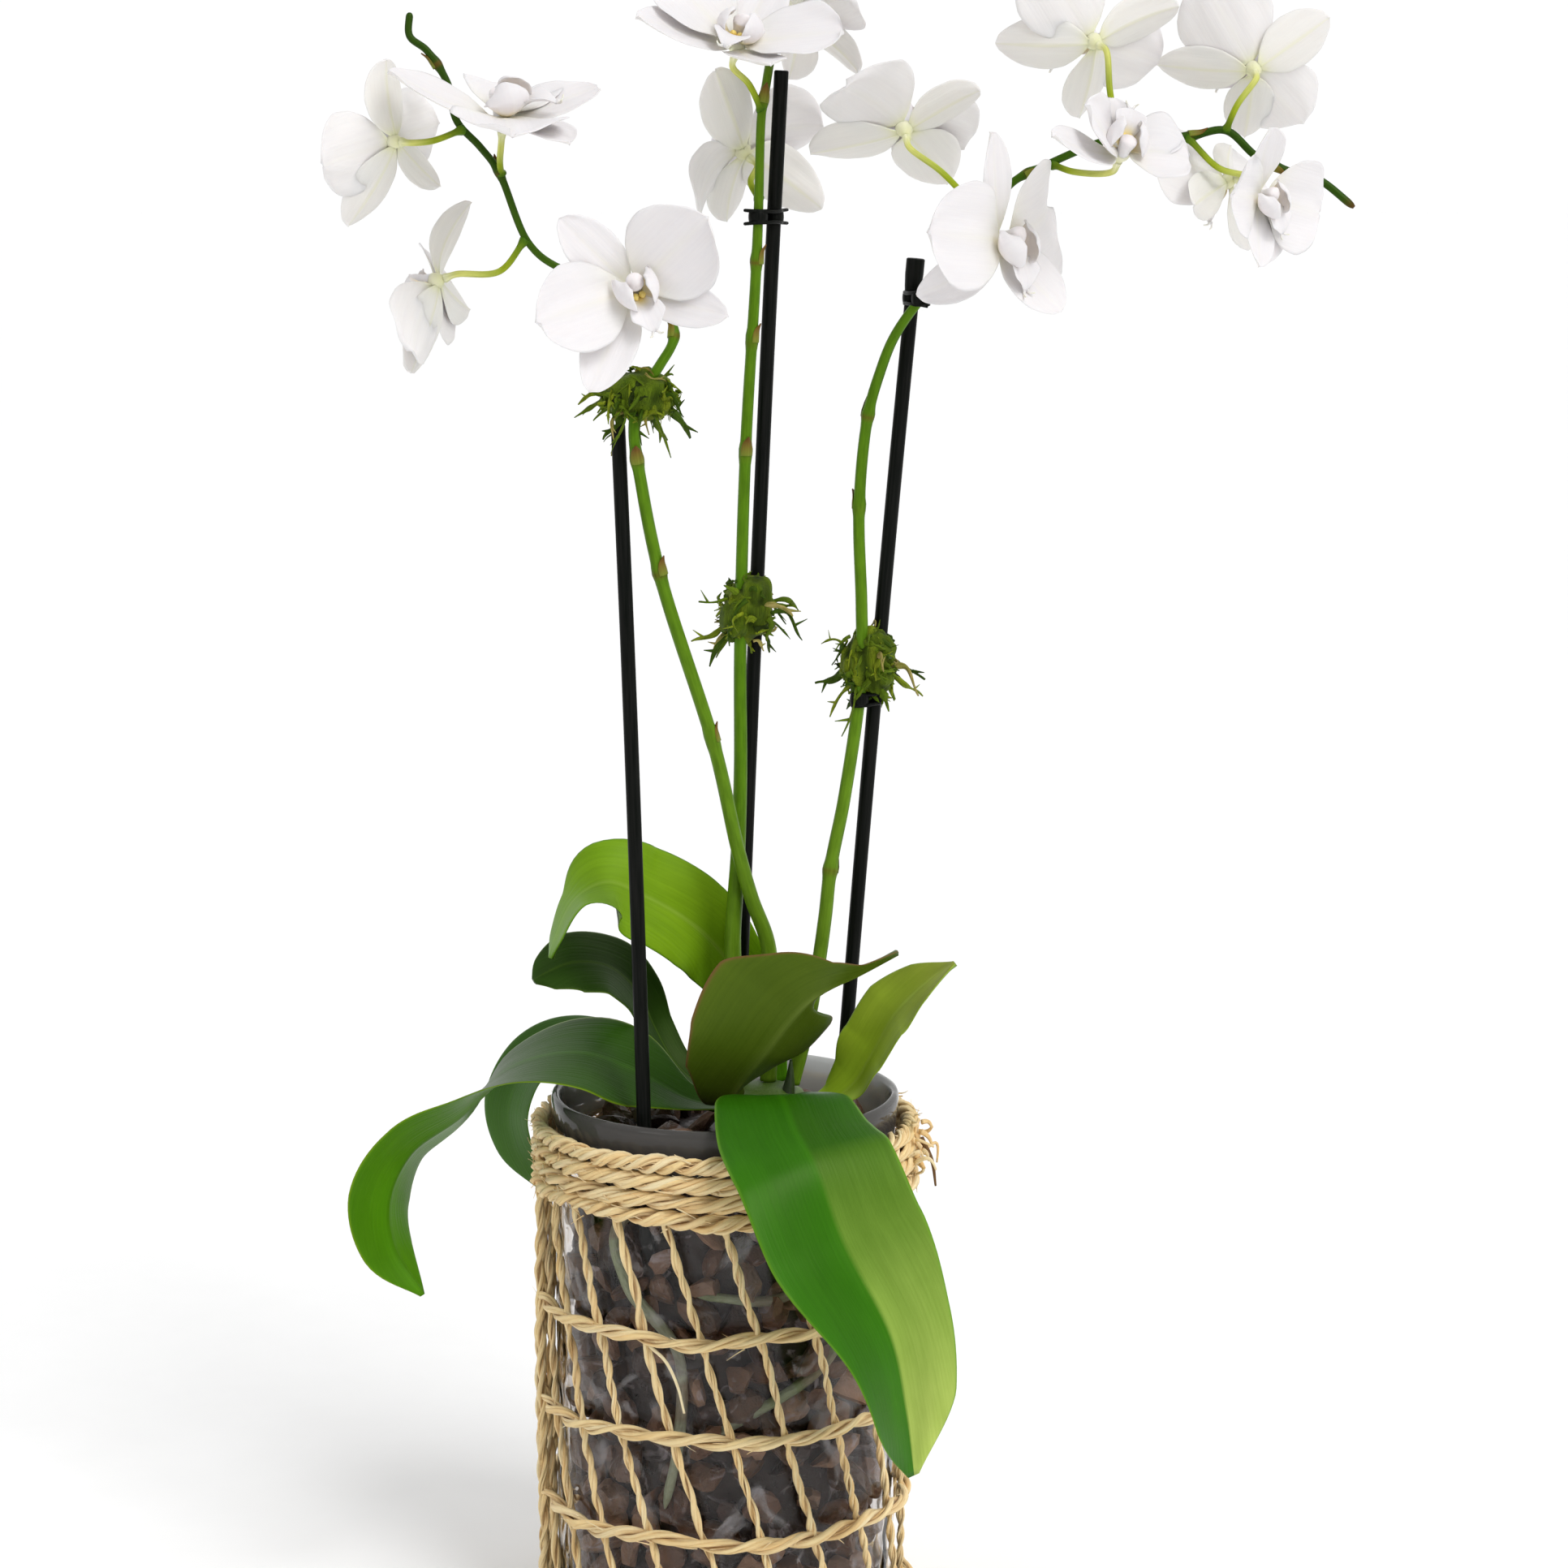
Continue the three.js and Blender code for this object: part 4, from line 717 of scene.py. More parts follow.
# Leaves: midrib point, half width, fold and the way the upper face looks, from the crown outwards
LEAVES = {
    "leaf_front": [
        (16, -18.4, 198, 6, 0.5, 0, 0.3, 1), (19, -34, 205, 13, 0.2, 0, -0.1, 1),
        (21, -52, 210, 24, 0, 0, -0.15, 1), (26, -71.1, 202.5, 27.9, -0.06, 0.05, -0.53, 0.92),
        (31.7, -83.5, 194.2, 28.9, 0.08, 0.29, -1.01, 0.36), (40.9, -89, 169.3, 28.6, 0.4, 0.34, -1.15, 0.17),
        (57.9, -92.3, 135.3, 22.7, 0.38, 0.49, -0.86, 0.18), (63.4, -89.6, 108.7, 18.4, 0.45, 0.7, -0.86, 0),
        (67.2, -83.6, 82.2, 2.4, 0.32, 0.45, -0.8, 0),
    ],
    "leaf_centre": [
        (5, -15.6, 200, 4, 0.6, -0.35, 0.6, 0.7), (2.4, -21.3, 202.8, 9.5, 0.48, -0.44, 0.5, 0.5),
        (6.2, -26.3, 211, 21.5, 0.34, -0.43, 0.66, 0.54), (14, -31.5, 222, 29, 0.36, -0.4, 0.73, 0.5),
        (24, -35.3, 236, 31, 0.46, -0.37, 0.8, 0.48), (31, -35.5, 243, 21.5, 0.44, -0.32, 0.72, 0.55),
        (38.5, -31.5, 246.8, 11.5, 0.36, -0.22, 0.55, 0.7), (48.5, -22, 249.4, 6.5, 0.2, -0.12, 0.45, 0.8),
        (63.1, -9, 254.4, 1, 0.05, -0.15, 0.5, 0.8),
    ],
    "leaf_back_high": [
        (19.4, 15, 199.6, 4, 0.5, 0, -1, 0.3), (16, 21.5, 213, 7, 0.5, 0, -1, 0.2),
        (9, 22.5, 232, 11, 0.4, -0.1, -1, 0.2), (-2, 19, 249, 15, 0.3, -0.1, -0.9, 0.4),
        (-14, 10, 262, 19, 0.2, -0.1, -0.8, 0.6), (-29, 2, 272.5, 21, 0.12, -0.1, -0.72, 0.7),
        (-43, -4, 279, 18, 0.1, -0.2, -0.7, 0.66), (-54, -9, 273, 12.5, 0.1, -0.85, -0.35, 0.35),
        (-60.5, -11.5, 260, 8.5, 0.1, -0.93, -0.3, 0.15), (-63, -12.5, 253, 1.5, 0.1, -0.95, -0.3, 0.1),
    ],
    "leaf_left_low": [
        (-1.2, -7, 195, 4, 0.4, 0.1, -0.2, 1), (-14, -9, 199, 9, 0.25, 0.1, -0.35, 0.9),
        (-34, -13, 211, 22, 0.1, 0.05, -0.45, 0.89), (-53, -17, 218, 26, 0, -0.1, -0.3, 0.95),
        (-76, -21, 214, 25, 0, -0.35, -0.05, 0.93), (-97, -26, 197, 21, 0.08, -0.58, 0.36, 0.73),
        (-114, -30, 185, 20, 0.15, -0.78, 0.45, 0.42), (-122, -34, 168, 18, 0.2, -0.83, 0.56, 0),
        (-120, -37, 151, 13, 0.2, -0.8, 0.6, -0.1), (-109, -39, 134, 1, 0.1, -0.75, 0.65, -0.2),
    ],
    "leaf_left_high": [
        (-1.2, 2.5, 197, 3.5, 0.4, 0.3, -0.3, 0.9), (-11, 6.5, 201, 5, 0.4, 0.5, -0.5, 0.7),
        (-20, 11, 209, 7, 0.4, 0.6, -0.65, 0.45), (-27, 14.5, 221, 8, 0.35, 0.6, -0.65, 0.45),
        (-33, 14, 234, 11, 0.3, 0.6, -0.6, 0.5), (-43, 11, 244, 15, 0.15, 0.3, -0.55, 0.8),
        (-56, 5.5, 247, 13.5, 0.05, -0.1, -0.75, 0.65), (-66, 0.5, 244, 7.5, 0, -0.3, -0.8, 0.5),
        (-70, -1.5, 242, 1.5, 0, -0.3, -0.8, 0.5),
    ],
    "leaf_back_low": [
        (2.4, 7.4, 195, 3, 0.5, -0.1, 0.1, 1), (-15, 22.5, 202, 8, 0.3, 0, 0.15, 1),
        (-38, 30, 211, 16, 0.2, -0.1, 0.1, 1), (-60, 34, 210, 17, 0.15, -0.35, -0.25, 0.9),
        (-75, 37, 200, 16, 0.15, -0.7, -0.5, 0.5), (-82, 38, 184, 15, 0.15, -0.75, -0.62, 0.15),
        (-80, 39, 168, 11, 0.1, -0.7, -0.7, 0), (-71, 40, 152, 1, 0.1, -0.7, -0.7, 0),
    ],
    "leaf_right": [
        (29.8, -6.7, 196, 4.5, 0.5, -0.3, 0.1, 1), (39, -9, 198, 9, 0.5, -0.6, -0.2, 0.8),
        (48, -10, 205, 12, 0.45, -0.8, -0.5, 0.45), (55.5, -12, 218, 16, 0.4, -0.8, -0.5, 0.45),
        (63, -14, 232, 16, 0.35, -0.75, -0.5, 0.5), (73, -16, 243, 12, 0.3, -0.6, -0.4, 0.7),
        (84, -17, 252, 1, 0.3, -0.3, -0.3, 0.9),
    ],
}

# Colours of each leaf: upper face at foot, middle and tip, underside, thin edge and midrib line
LEAF_TONES = {
    "leaf_front": ("#1C4A04", "#2F6A06", "#336E0C", "#5F8A2E", "#6FA02C", "#3C7A0A"),
    "leaf_centre": ("#5C8420", "#567418", "#465A1C", "#4C6014", "#7A5038", "#7C8C40"),
    "leaf_back_high": ("#4E860C", "#7EA416", "#628E1A", "#3F5A14", "#5C8A14", "#9AB44C"),
    "leaf_left_low": ("#274E08", "#284A04", "#36540C", "#4A8008", "#7E9A1C", "#3E6A16"),
    "leaf_left_high": ("#2A480A", "#27440A", "#2C4A14", "#3A5A12", "#6E8A30", "#5E7A2C"),
    "leaf_back_low": ("#2A5208", "#2C5808", "#33600A", "#2C5808", "#4E7A14", "#3E6A12"),
    "leaf_right": ("#98B62A", "#9CB62E", "#848E34", "#76961A", "#9AB44C", "#A8BE54"),
}
# Painted light: the half of the front leaf that turns to the light is painted lighter than the rest of its
# upper face
PAINTED_LIGHT_HALF = [linear(c) for c in ("#2C5C06", "#7C9E3C", "#B4C664")]


def leaf_paint(name, tones, seed):
    foot, middle, tip, below, edge, rib = (linear(tone) for tone in tones)
    rng = np.random.default_rng(seed)
    bands = rng.uniform(0.5, 3, 3)

    def paint(t, s, upper):
        body = blend(blend(foot, middle, t / 0.45), tip, (t - 0.5) / 0.5) if upper else \
            blend(below * 0.85, below, t / 0.6)
        # Painted light: the right half of the front leaf's upper face is painted lighter past its foot.
        if upper and name == "leaf_front":
            painted_light = blend(PAINTED_LIGHT_HALF[0], PAINTED_LIGHT_HALF[1], (t - 0.45) / 0.25)
            painted_light = blend(painted_light, PAINTED_LIGHT_HALF[2], (t - 0.65) / 0.3)
            body = blend(body, painted_light, np.clip(s / 0.05, 0, 1) * np.clip((t - 0.2) / 0.15, 0, 1))
        cloud = 0.5 + 0.5 * np.sin(bands[0] * 3 * t + 2 * s * bands[1] + seed) * np.cos(bands[2] * 4 * t - s)
        body = body * (0.9 + 0.2 * cloud)[..., None]
        line = bell(s, 0, 0.035) * 0.55 if upper else bell(s, 0, 0.06) * 0.7
        body = blend(body, rib, line * (1 - 0.6 * t))
        return blend(body, edge, np.clip((np.abs(s) - 0.955) / 0.045, 0, 1) * 0.85)

    return paint


def leaves():
    for number, (name, stations) in enumerate(LEAVES.items()):
        data = np.array(stations, float)
        form = Smooth(np.column_stack([data[:, 3], data[:, 4], 0 * data[:, 3]]))
        faces = Smooth(data[:, 5:8])
        rng = np.random.default_rng(41 + number)
        phase, lengths = rng.uniform(0, 6), rng.uniform(1.5, 2.4)

        def relief(t, s, width):
            height = 0.08 if name == "leaf_right" else 0.3
            ripple = height * s**2 * np.sin(2 * np.pi * lengths * t + phase + 1.5 * np.sign(s))
            return ripple * np.clip(width / 12, 0, 1)

        piece = Piece()
        blade(piece, Smooth(data[:, :3]), lambda t: form.at(t)[:, 0], lambda t: form.at(t)[:, 1], faces.at,
              84, 32, 2.2, 0.9, leaf_paint(name, LEAF_TONES[name], number + 1), number, relief, 0.85, 0.7)
        piece.make(name + "_blade", LEAF, [name])


# Stakes
STAKES = {
    "stake_left": [(-37, -16, 447), (-32, -30, 322), (-27, -45, 150)],
    "stake_centre": [(21, 3, 571), (13, 8, 410), (2, 17, 140)],
    "stake_right": [(69, 3, 505), (57, 8, 370), (39, 16, 140)],
}
STAKE_RADIUS, BLACK = 2.6, (0.01, 0.01, 0.01)


def stakes():
    for number, (name, ends) in enumerate(STAKES.items()):
        share = np.concatenate([[0, 0.0006, 0.0015], np.linspace(0.004, 1, 60)])
        radius = np.full(len(share), STAKE_RADIUS)
        if name == "stake_right":
            radius = radius * (1 + 0.28 * np.clip((0.05 - share) / 0.02, 0, 1))
        radius[:3] -= [0.5, 0.2, 0]
        piece = Piece()
        path = Smooth(Smooth(ends).at(steps(4))).at(share)
        tube(piece, path, radius, 28, BLACK, number)
        piece.make(name + "_rod", PLASTIC, [name])


# Flower spikes: thickness at foot and tip, the shares where nodes sit, and the points of the main stem
SPIKES = {
    "spike_left": (6.2, 2.6, [0.23, 0.275, 0.337, 0.5, 0.725, 0.887], [
        (16, 4, 203.4), (17, 3, 230), (16, 2, 255), (10, -1, 273), (5, -4, 292),
        (-3, -8, 329), (-22, -16, 392), (-28.5, -20, 425), (-31, -23, 446),
        (-29, -22, 458), (-22, -20, 468), (-17, -16, 478), (-21, -12, 489), (-32, -12, 495),
        (-59, -16, 503), (-68, -18, 511), (-78, -22, 536), (-84, -23, 544),
        (-92, -24, 553), (-95, -25, 566), (-102, -24, 577), (-108, -23, 582), (-108, -22, 590),
    ]),
    "spike_centre": (7, 3.2, [0.467, 0.505, 0.537, 0.69], [
        (5, 5, 203.4), (4, 4, 230), (3, 3, 256), (4, 3, 273), (5, 3, 289), (6, 3, 319),
        (6, 3, 364), (8, 1, 435), (12, -2, 502), (13, -3, 527),
        (14, -3, 556), (15.6, -1, 566), (17, 4, 574), (20, 10, 584), (22, 14, 597), (21, 17, 608),
    ]),
    "spike_right": (5.6, 2.8, [0.157, 0.32, 0.36, 0.66, 0.8, 0.9], [
        (25, -3, 204), (30, -4, 224), (34, -2, 245), (37, 0, 266), (39, 2, 284), (44, 2, 310),
        (50, 2, 355), (50, 2, 380), (49, 2, 416), (52, 0, 449),
        (56, -2, 464), (61, -4, 477), (69, -7, 489), (78, -8, 498), (88, -7, 508),
        (95, -5, 519), (102, -4, 531), (115, -5, 538), (138, -4, 547), (153, 0, 548),
        (166, 3, 548), (179, 4, 550), (190, 4, 541), (201, 4, 536), (212, 4, 533), (225, 2, 523),
    ]),
}
STEM_LOW, STEM_MID = linear("#6E8E24"), linear("#568010")
STEM_HIGH = {"spike_left": linear("#2A480A"), "spike_centre": linear("#587816"),
             "spike_right": linear("#2C4E0A")}
STEM_RING, STEM_BRACT = linear("#6E4A22"), linear("#7E8A34")
STALK_COLOURS = [linear(c) for c in ("#3F6A10", "#A4B42C", "#DCDC80", "#F2F0D2")]

# Blooms: centre, face, top sepal, size, pedicel bends, and for the three sepals and the two petals the
# angle, how far it is cupped, and its length and width against the plain form
TEPALS = [(90, 0, 1, 1), (-50, 0, 1, 1), (-130, 0, 1, 1), (14, 0, 1, 1), (166, 0, 1, 1)]
BLOOMS = {
    "bloom_left_1": ((-30.2, -40, 495.3), (0.16, -0.98, 0.13), (-0.38, 0.06, 0.92), 0.96,
        [(-32, -12, 494.5), (-36, -23, 496)],
        [(117, 12.3, 1.04, 0.93), (-41, 16.1, 0.96, 0.8), (-137, 10.3, 1.18, 0.97), (22, 20.9, 0.9, 1.04),
         (178, 14.8, 1.08, 0.91)]),
    "bloom_left_2": ((-99.8, -22, 497.8), (-0.91, 0.3, -0.3), (-0.32, -0.03, 0.95), 0.93,
        [(-69, -18, 512), (-78, -21, 501)],
        [(141, -9.3, 1.07, 0.68), (-58, 16.5, 0.96, 1.11), (-153, 6, 0.96, 0.95), (-35, 5.3, 1.02, 0.83),
         (195, 6.5, 0.91, 1.12)]),
    "bloom_left_3": ((-113, -29, 545.9), (-0.81, 0.59, 0.07), (-0.12, -0.28, 0.95), 0.84,
        [(-90, -24, 550), (-100, -33, 546)],
        [(96, 2.7, 0.97, 1.14), (-58, 17.5, 1.05, 1.12), (-132, 4.2, 1.05, 0.68), (-1, 8.6, 0.94, 0.98),
         (185, 5.6, 0.97, 0.96)]),
    "bloom_left_4": ((-75.1, -35.3, 552.4), (0.11, -0.33, 0.94), (-0.99, 0.02, 0.12), 1.06,
        [(-77, -22, 535), (-77, -26, 539)],
        [(98, 15, 1.08, 1.15), (-53, 9.9, 1.01, 1.16), (-135, 5.9, 0.98, 0.98), (-1, -0.9, 0.99, 0.93),
         (191, 6.9, 1, 1.05)]),
    "bloom_centre_1": ((5.3, -15, 578.6), (0.18, -0.53, 0.83), (0.32, 0.83, 0.46), 1.02,
        [(14, -3, 557), (9.5, -5.5, 566)],
        [(90, 12.2, 1, 1), (-55, 15.9, 0.97, 1), (-145, 12.6, 1.07, 1.06), (16, 11.3, 0.96, 1.01),
         (166, 12.2, 1, 1)]),
    "bloom_centre_2": ((7.6, 16.5, 542.3), (-0.59, 0.56, 0.58), (-0.08, -0.76, 0.65), 0.96,
        [(13, -1, 526), (10, 6, 532)],
        [(87, 11.1, 1.09, 1.04), (-66, 0.6, 0.9, 0.94), (-123, -15.8, 1.05, 1.09), (2, -16.7, 0.93, 0.79),
         (190, -4.3, 0.96, 1.02)]),
    "bloom_centre_3": ((27, 29, 590), (0.6, 0.55, 0.55), (-0.3, -0.2, 0.9), 0.86,
        [(21, 12, 590), (22, 18, 583)], TEPALS),
    "bloom_right_1": ((64.8, 3, 550.1), (-0.17, 0.65, 0.74), (0.62, -0.51, 0.6), 0.98,
        [(94, -5, 518), (78, -9, 535)],
        [(119, 6.2, 0.87, 1), (-68, 12.1, 1.06, 1.12), (-156, 3, 1.08, 1.19), (10, 1.4, 0.93, 1.02),
         (186, 7.8, 0.96, 1.01)]),
    "bloom_right_2": ((96.9, -28, 511.9), (0.73, -0.68, -0.03), (-0.14, -0.2, 0.97), 1.02,
        [(90, -7, 511), (89, -14, 513)],
        [(100, 10, 1.14, 0.71), (-69, 16.2, 0.82, 1.05), (-161, -9.5, 0.98, 0.88), (4, -8.4, 1.05, 1.13),
         (161, -1.5, 1.02, 1.02)]),
    "bloom_right_3": ((138.7, -30, 541.2), (0.27, -0.65, 0.71), (-0.1, -0.75, -0.65), 0.91,
        [(117, -5, 538), (124, -11, 535.5)],
        [(34, 18.3, 1.1, 0.92), (-67, 10.8, 0.6, 0.9), (-143, 5.8, 0.8, 0.9), (2, 16.3, 0.55, 0.8),
         (189, 2.8, 0.74, 0.97)]),
    "bloom_right_4": ((132.1, 6, 580.9), (-0.46, 0.8, 0.39), (0.68, 0.04, 0.74), 0.95,
        [(140, -4, 547), (137, -2.5, 564)],
        [(116, -0.7, 1.03, 0.96), (-51, 18.5, 0.92, 1.02), (-144, 13.6, 1.03, 0.94), (13, 9.8, 1.03, 1.02),
         (157, 3.6, 1.02, 0.9)]),
    "bloom_right_5": ((189, 8, 571.3), (-0.01, 0.91, 0.41), (0.76, -0.26, 0.59), 0.91,
        [(179, 4, 550), (182.5, 0, 559)],
        [(99, 10.8, 0.98, 1.09), (-57, 17.6, 1.02, 0.87), (-140, 14.5, 0.96, 0.97), (7, 15.6, 1.02, 1.07),
         (181, 11.3, 1, 0.88)]),
    "bloom_right_6": ((181.4, 12, 532.2), (-0.8, 0.56, -0.23), (0.03, 0.42, 0.91), 0.84,
        [(165, 3, 548), (176, 0, 537)],
        [(102, 3.6, 0.55, 0.9), (-38, 2.8, 0.99, 0.98), (-145, 6.3, 0.97, 0.95), (5, 11.6, 1.03, 0.98),
         (165, 0.5, 1, 1.02)]),
    "bloom_right_7": ((188.2, -18.5, 527), (0.69, -0.72, -0.1), (-0.26, -0.38, 0.89), 0.8,
        [(190, 4, 541), (187, -5, 533)],
        [(87, 15, 0.95, 1.21), (-104, 5.2, 0.85, 1.13), (-134, 12.9, 0.87, 1), (-38, 6.4, 0.96, 1.15),
         (150, 12, 0.98, 1)]),
}
NECK_BACK = 3


def stem_path(name, share):
    return Smooth(SPIKES[name][3]).at(share)


def spikes():
    for number, (name, (foot, tip, nodes, points)) in enumerate(SPIKES.items()):
        rng = np.random.default_rng(61 + number)
        share = steps(46 * 8)
        path = stem_path(name, share)
        run = np.concatenate([[0], np.cumsum(np.linalg.norm(np.diff(path, axis=0), axis=1))])
        radius = foot / 2 + (tip - foot) / 2 * np.minimum(1, 1.6 * share)
        colour = blend(blend(STEM_LOW, STEM_MID, share / 0.35), STEM_HIGH[name], (share - 0.45) / 0.3)
        piece = Piece()
        for node in nodes:
            here = np.interp(node, share, run)
            radius = radius + 0.55 * bell(run, here + 0.6, 2.4)
            colour = blend(colour, STEM_RING, 0.75 * bell(run, here, 0.9) * rng.uniform(0.6, 1))
            add_bract(piece, rng, name, node, np.interp(node, share, radius))
        radius[-3:] *= np.array([0.95, 0.8, 0.45])
        if name == "spike_right":
            colour = blend(colour, linear("#5A3A1C"), (run - run[-1] + 5) / 5)
        tube(piece, path, radius, 20, colour, number)
        for bloom, item in BLOOMS.items():
            if bloom.split("_")[1] == name.split("_")[1]:
                add_pedicel(piece, *item[:5])
        piece.make(name + "_stem", STEM, [name])


def add_bract(piece, rng, name, node, radius):
    """The small dry scale that clasps a stem at a node."""
    here = stem_path(name, node)[0]
    up = Smooth(SPIKES[name][3]).along(np.array([node]))[0]
    out = unit(np.cross(up, rng.normal(0, 1, 3)))
    points = [here + out * (radius + 0.1) + up * rise for rise in (-0.5, 1.5, 4, 6.5)]
    points[-1] = points[-1] + out * 0.7
    half = profile([radius * 0.9, radius * 0.95, radius * 0.7, 0.15])
    blade(piece, Smooth(points), half, lambda t: 0 * t - 0.55, steady(out), 10, 8, 0.5, 0.3,
          lambda t, s, upper: blend(STEM_BRACT, STEM_RING, np.clip(1.2 * t, 0, 1)), 7)


def add_pedicel(piece, at, face, _, size, stalk):
    back = -unit(face)
    at = np.array(at, float)
    stops = [at + back * (NECK_BACK * size + 5), at + back * (NECK_BACK * size + 0.3)]
    share = steps(44)
    path = Smooth(np.vstack([stalk, stops])).at(share)
    radius = 1.15 + 0.9 * bell(share, 0, 0.05) + 0.55 * bell(share, 1, 0.12)
    colour = blend(STALK_COLOURS[0], STALK_COLOURS[1], share / 0.25)
    colour = blend(colour, STALK_COLOURS[2], (share - 0.3) / 0.3)
    colour = blend(colour, STALK_COLOURS[3], (share - 0.65) / 0.35)
    tube(piece, path, radius, 12, colour, at[0])


# Bloom forms, facing +Z with the top sepal towards +Y: reach, half width and forward lift
SEPAL_FORM = [(2.4, 1.4, 0), (6, 5.4, 0.6), (12, 9.2, 1.2), (19, 10.3, 1.2), (26, 9.2, 0.5), (31, 6.4, -0.5),
              (34, 3.4, -1.2), (35, 0.6, -1.6)]
PETAL_FORM = [(2.4, 1.4, 1.8), (5, 7, 2.6), (10, 13.4, 3.4), (16, 17.2, 4), (22.5, 18.2, 4), (28, 16.2, 3.2),
              (32.2, 11.8, 2.3), (34.8, 6.6, 1.9), (35.8, 1, 1.7)]
WHITE, CREAM, VEIN = linear("#E6E3E4"), linear("#E6E4D0"), linear("#DCDE94")
LIP_YELLOW, LIP_ORANGE, LIP_PINK, LIP_WARMTH = *map(linear, ("#F9E26E", "#F6CF86", "#F8EEEC")), 0.9


def tepal_paint(is_petal):
    def paint(t, s, upper):
        body = np.broadcast_to(WHITE, t.shape + (3,))
        if upper:
            body = blend(body, CREAM, 0.8 * bell(t, 0, 0.22))
            return blend(body, VEIN, 0.12 * bell(s, 0, 0.1) * (1 - t))
        body = blend(body, CREAM, (0.15 if is_petal else 0.4) * (1 - 0.6 * t))
        body = blend(body, VEIN, (0.05 if is_petal else 0.3) * bell(s, 0, 0.07) * (1 - 0.5 * t))
        return blend(body, VEIN, 0.55 * bell(t, 0, 0.12))

    return paint


def add_tepal(piece, rng, tepal, is_petal, seed):
    angle, cup, length, width = tepal
    data = np.array(PETAL_FORM if is_petal else SEPAL_FORM, float)
    place = around(angle, data[:, 0] * length, data[:, 2] + cup * (data[:, 0] / 34) ** 2)
    half = profile(data[:, 1] * width)
    phases = rng.uniform(0, 6, 4)

    def relief(t, s, width):
        edge = s**2
        wave = (1.0 if is_petal else 0.4) * edge * np.sin(2 * np.pi * 1.35 * t + phases[0] + 1.3 * np.sign(s))
        ruffle = (0.3 if is_petal else 0.1) * edge**2 * np.sin(2 * np.pi * 3.4 * t + phases[1] * np.sign(s))
        ribs = (0.28 if is_petal else 0.12) * np.sin(3.2 * np.pi * s + phases[2]) * np.sin(np.pi * t)
        curl = (-1.6 if is_petal else -0.8) * t**4 * (1 - s**2)
        return wave + ruffle + ribs + curl

    blade(piece, Smooth(place), lambda t: np.maximum(half(t), 0.2),
          lambda t: 0.12 + 0.08 * np.sin(np.pi * t), steady(UP),
          30, 20, 0.9, 0.62, tepal_paint(is_petal), seed, relief, 0.1 if is_petal else 0.4,
          0.0 if is_petal else 0.5)


def add_lip(piece, warm, seed):
    """The lip's middle lobe with its two tails, its side lobes, its callus and the column above it."""
    def middle_paint(t, s, upper):
        body = np.broadcast_to(WHITE, t.shape + (3,))
        if not upper:
            return body
        body = blend(body, LIP_YELLOW, warm * 0.8 * bell(t, 0.12, 0.13) * bell(s, 0, 0.7))
        return blend(body, LIP_ORANGE, warm * 0.5 * bell(t, 0.02, 0.1))

    def side_paint(t, s, upper):
        body = blend(np.broadcast_to(WHITE, t.shape + (3,)), LIP_PINK, 0.5 * warm * bell(t, 0.25, 0.3))
        body = blend(body, LIP_YELLOW, warm * 0.6 * bell(t, 0.05, 0.2))
        stripes = np.clip(np.sin(9 * s) - 0.5, 0, 1) * bell(t, 0.15, 0.16)
        return blend(body, LIP_ORANGE, warm * 0.7 * stripes)

    trowel = Smooth([(0, -2.6, 3), (0, -5.6, 6.4), (0, -8.6, 8.6), (0, -11, 9.4), (0, -13.4, 9.7),
                     (0, -15.6, 9.4), (0, -17.2, 8.8)])
    blade(piece, trowel, profile([1.5, 3, 6, 6.6, 4.4, 2.4, 0.8]), lambda t: 0.35 - 0.1 * t,
          steady((0, 0.5, 1)), 24, 12, 1.1, 0.62,
          middle_paint, seed + 5, lambda t, s, width: 0.25 * np.sin(9 * t + seed) * s**2, 0.2, 0.3)
    for hand in (-1, 1):
        lobe = Smooth([(hand * 2.4, -1, 2.8), (hand * 6, -2, 5.2), (hand * 7.6, -2, 8.6),
                       (hand * 6.4, -0.4, 12), (hand * 3.4, 1.2, 13.9)])
        blade(piece, lobe, profile([1.8, 5.2, 7.6, 6.8, 2.2]), lambda t: 0 * t + 0.35,
              steady((-hand, 0.35, 0.3)), 18, 12, 0.9, 0.6, side_paint, seed + 6)
        tail = Smooth([(hand * 0.5, -16.6, 9), (hand * 1.6, -18.4, 9.6), (hand * 2.6, -18.6, 11)])
        share = steps(9)
        tube(piece, tail.at(share), 0.6 * (1 - 0.6 * share), 7, blend(WHITE, CREAM, share), seed)
        callus = Smooth([(hand * 0.9, -2.8, 4.6), (hand * 1.3, -3.2, 6.4), (hand * 1.1, -4.4, 7.4)]).at(share)
        tube(piece, callus, 1.3 * np.sin(np.pi * (0.18 + 0.8 * share)) ** 0.6, 9,
             blend(LIP_YELLOW, LIP_ORANGE, 0.5 * share) * (0.6 + 0.4 * warm) + (1 - warm) * 0.3, seed)
    share = steps(16)
    column = Smooth([(0, 0.6, 1.5), (0, 1.2, 5), (0, 1.9, 8.5), (0, 1.6, 11.4)]).at(share)
    girth = 2.6 + 0.8 * bell(share, 0.75, 0.25)
    girth[-3:] *= np.array([0.86, 0.6, 0.25])
    tube(piece, column, girth, 16, blend(WHITE, LIP_PINK, 0.5 * warm * bell(share, 0.9, 0.15)), seed)


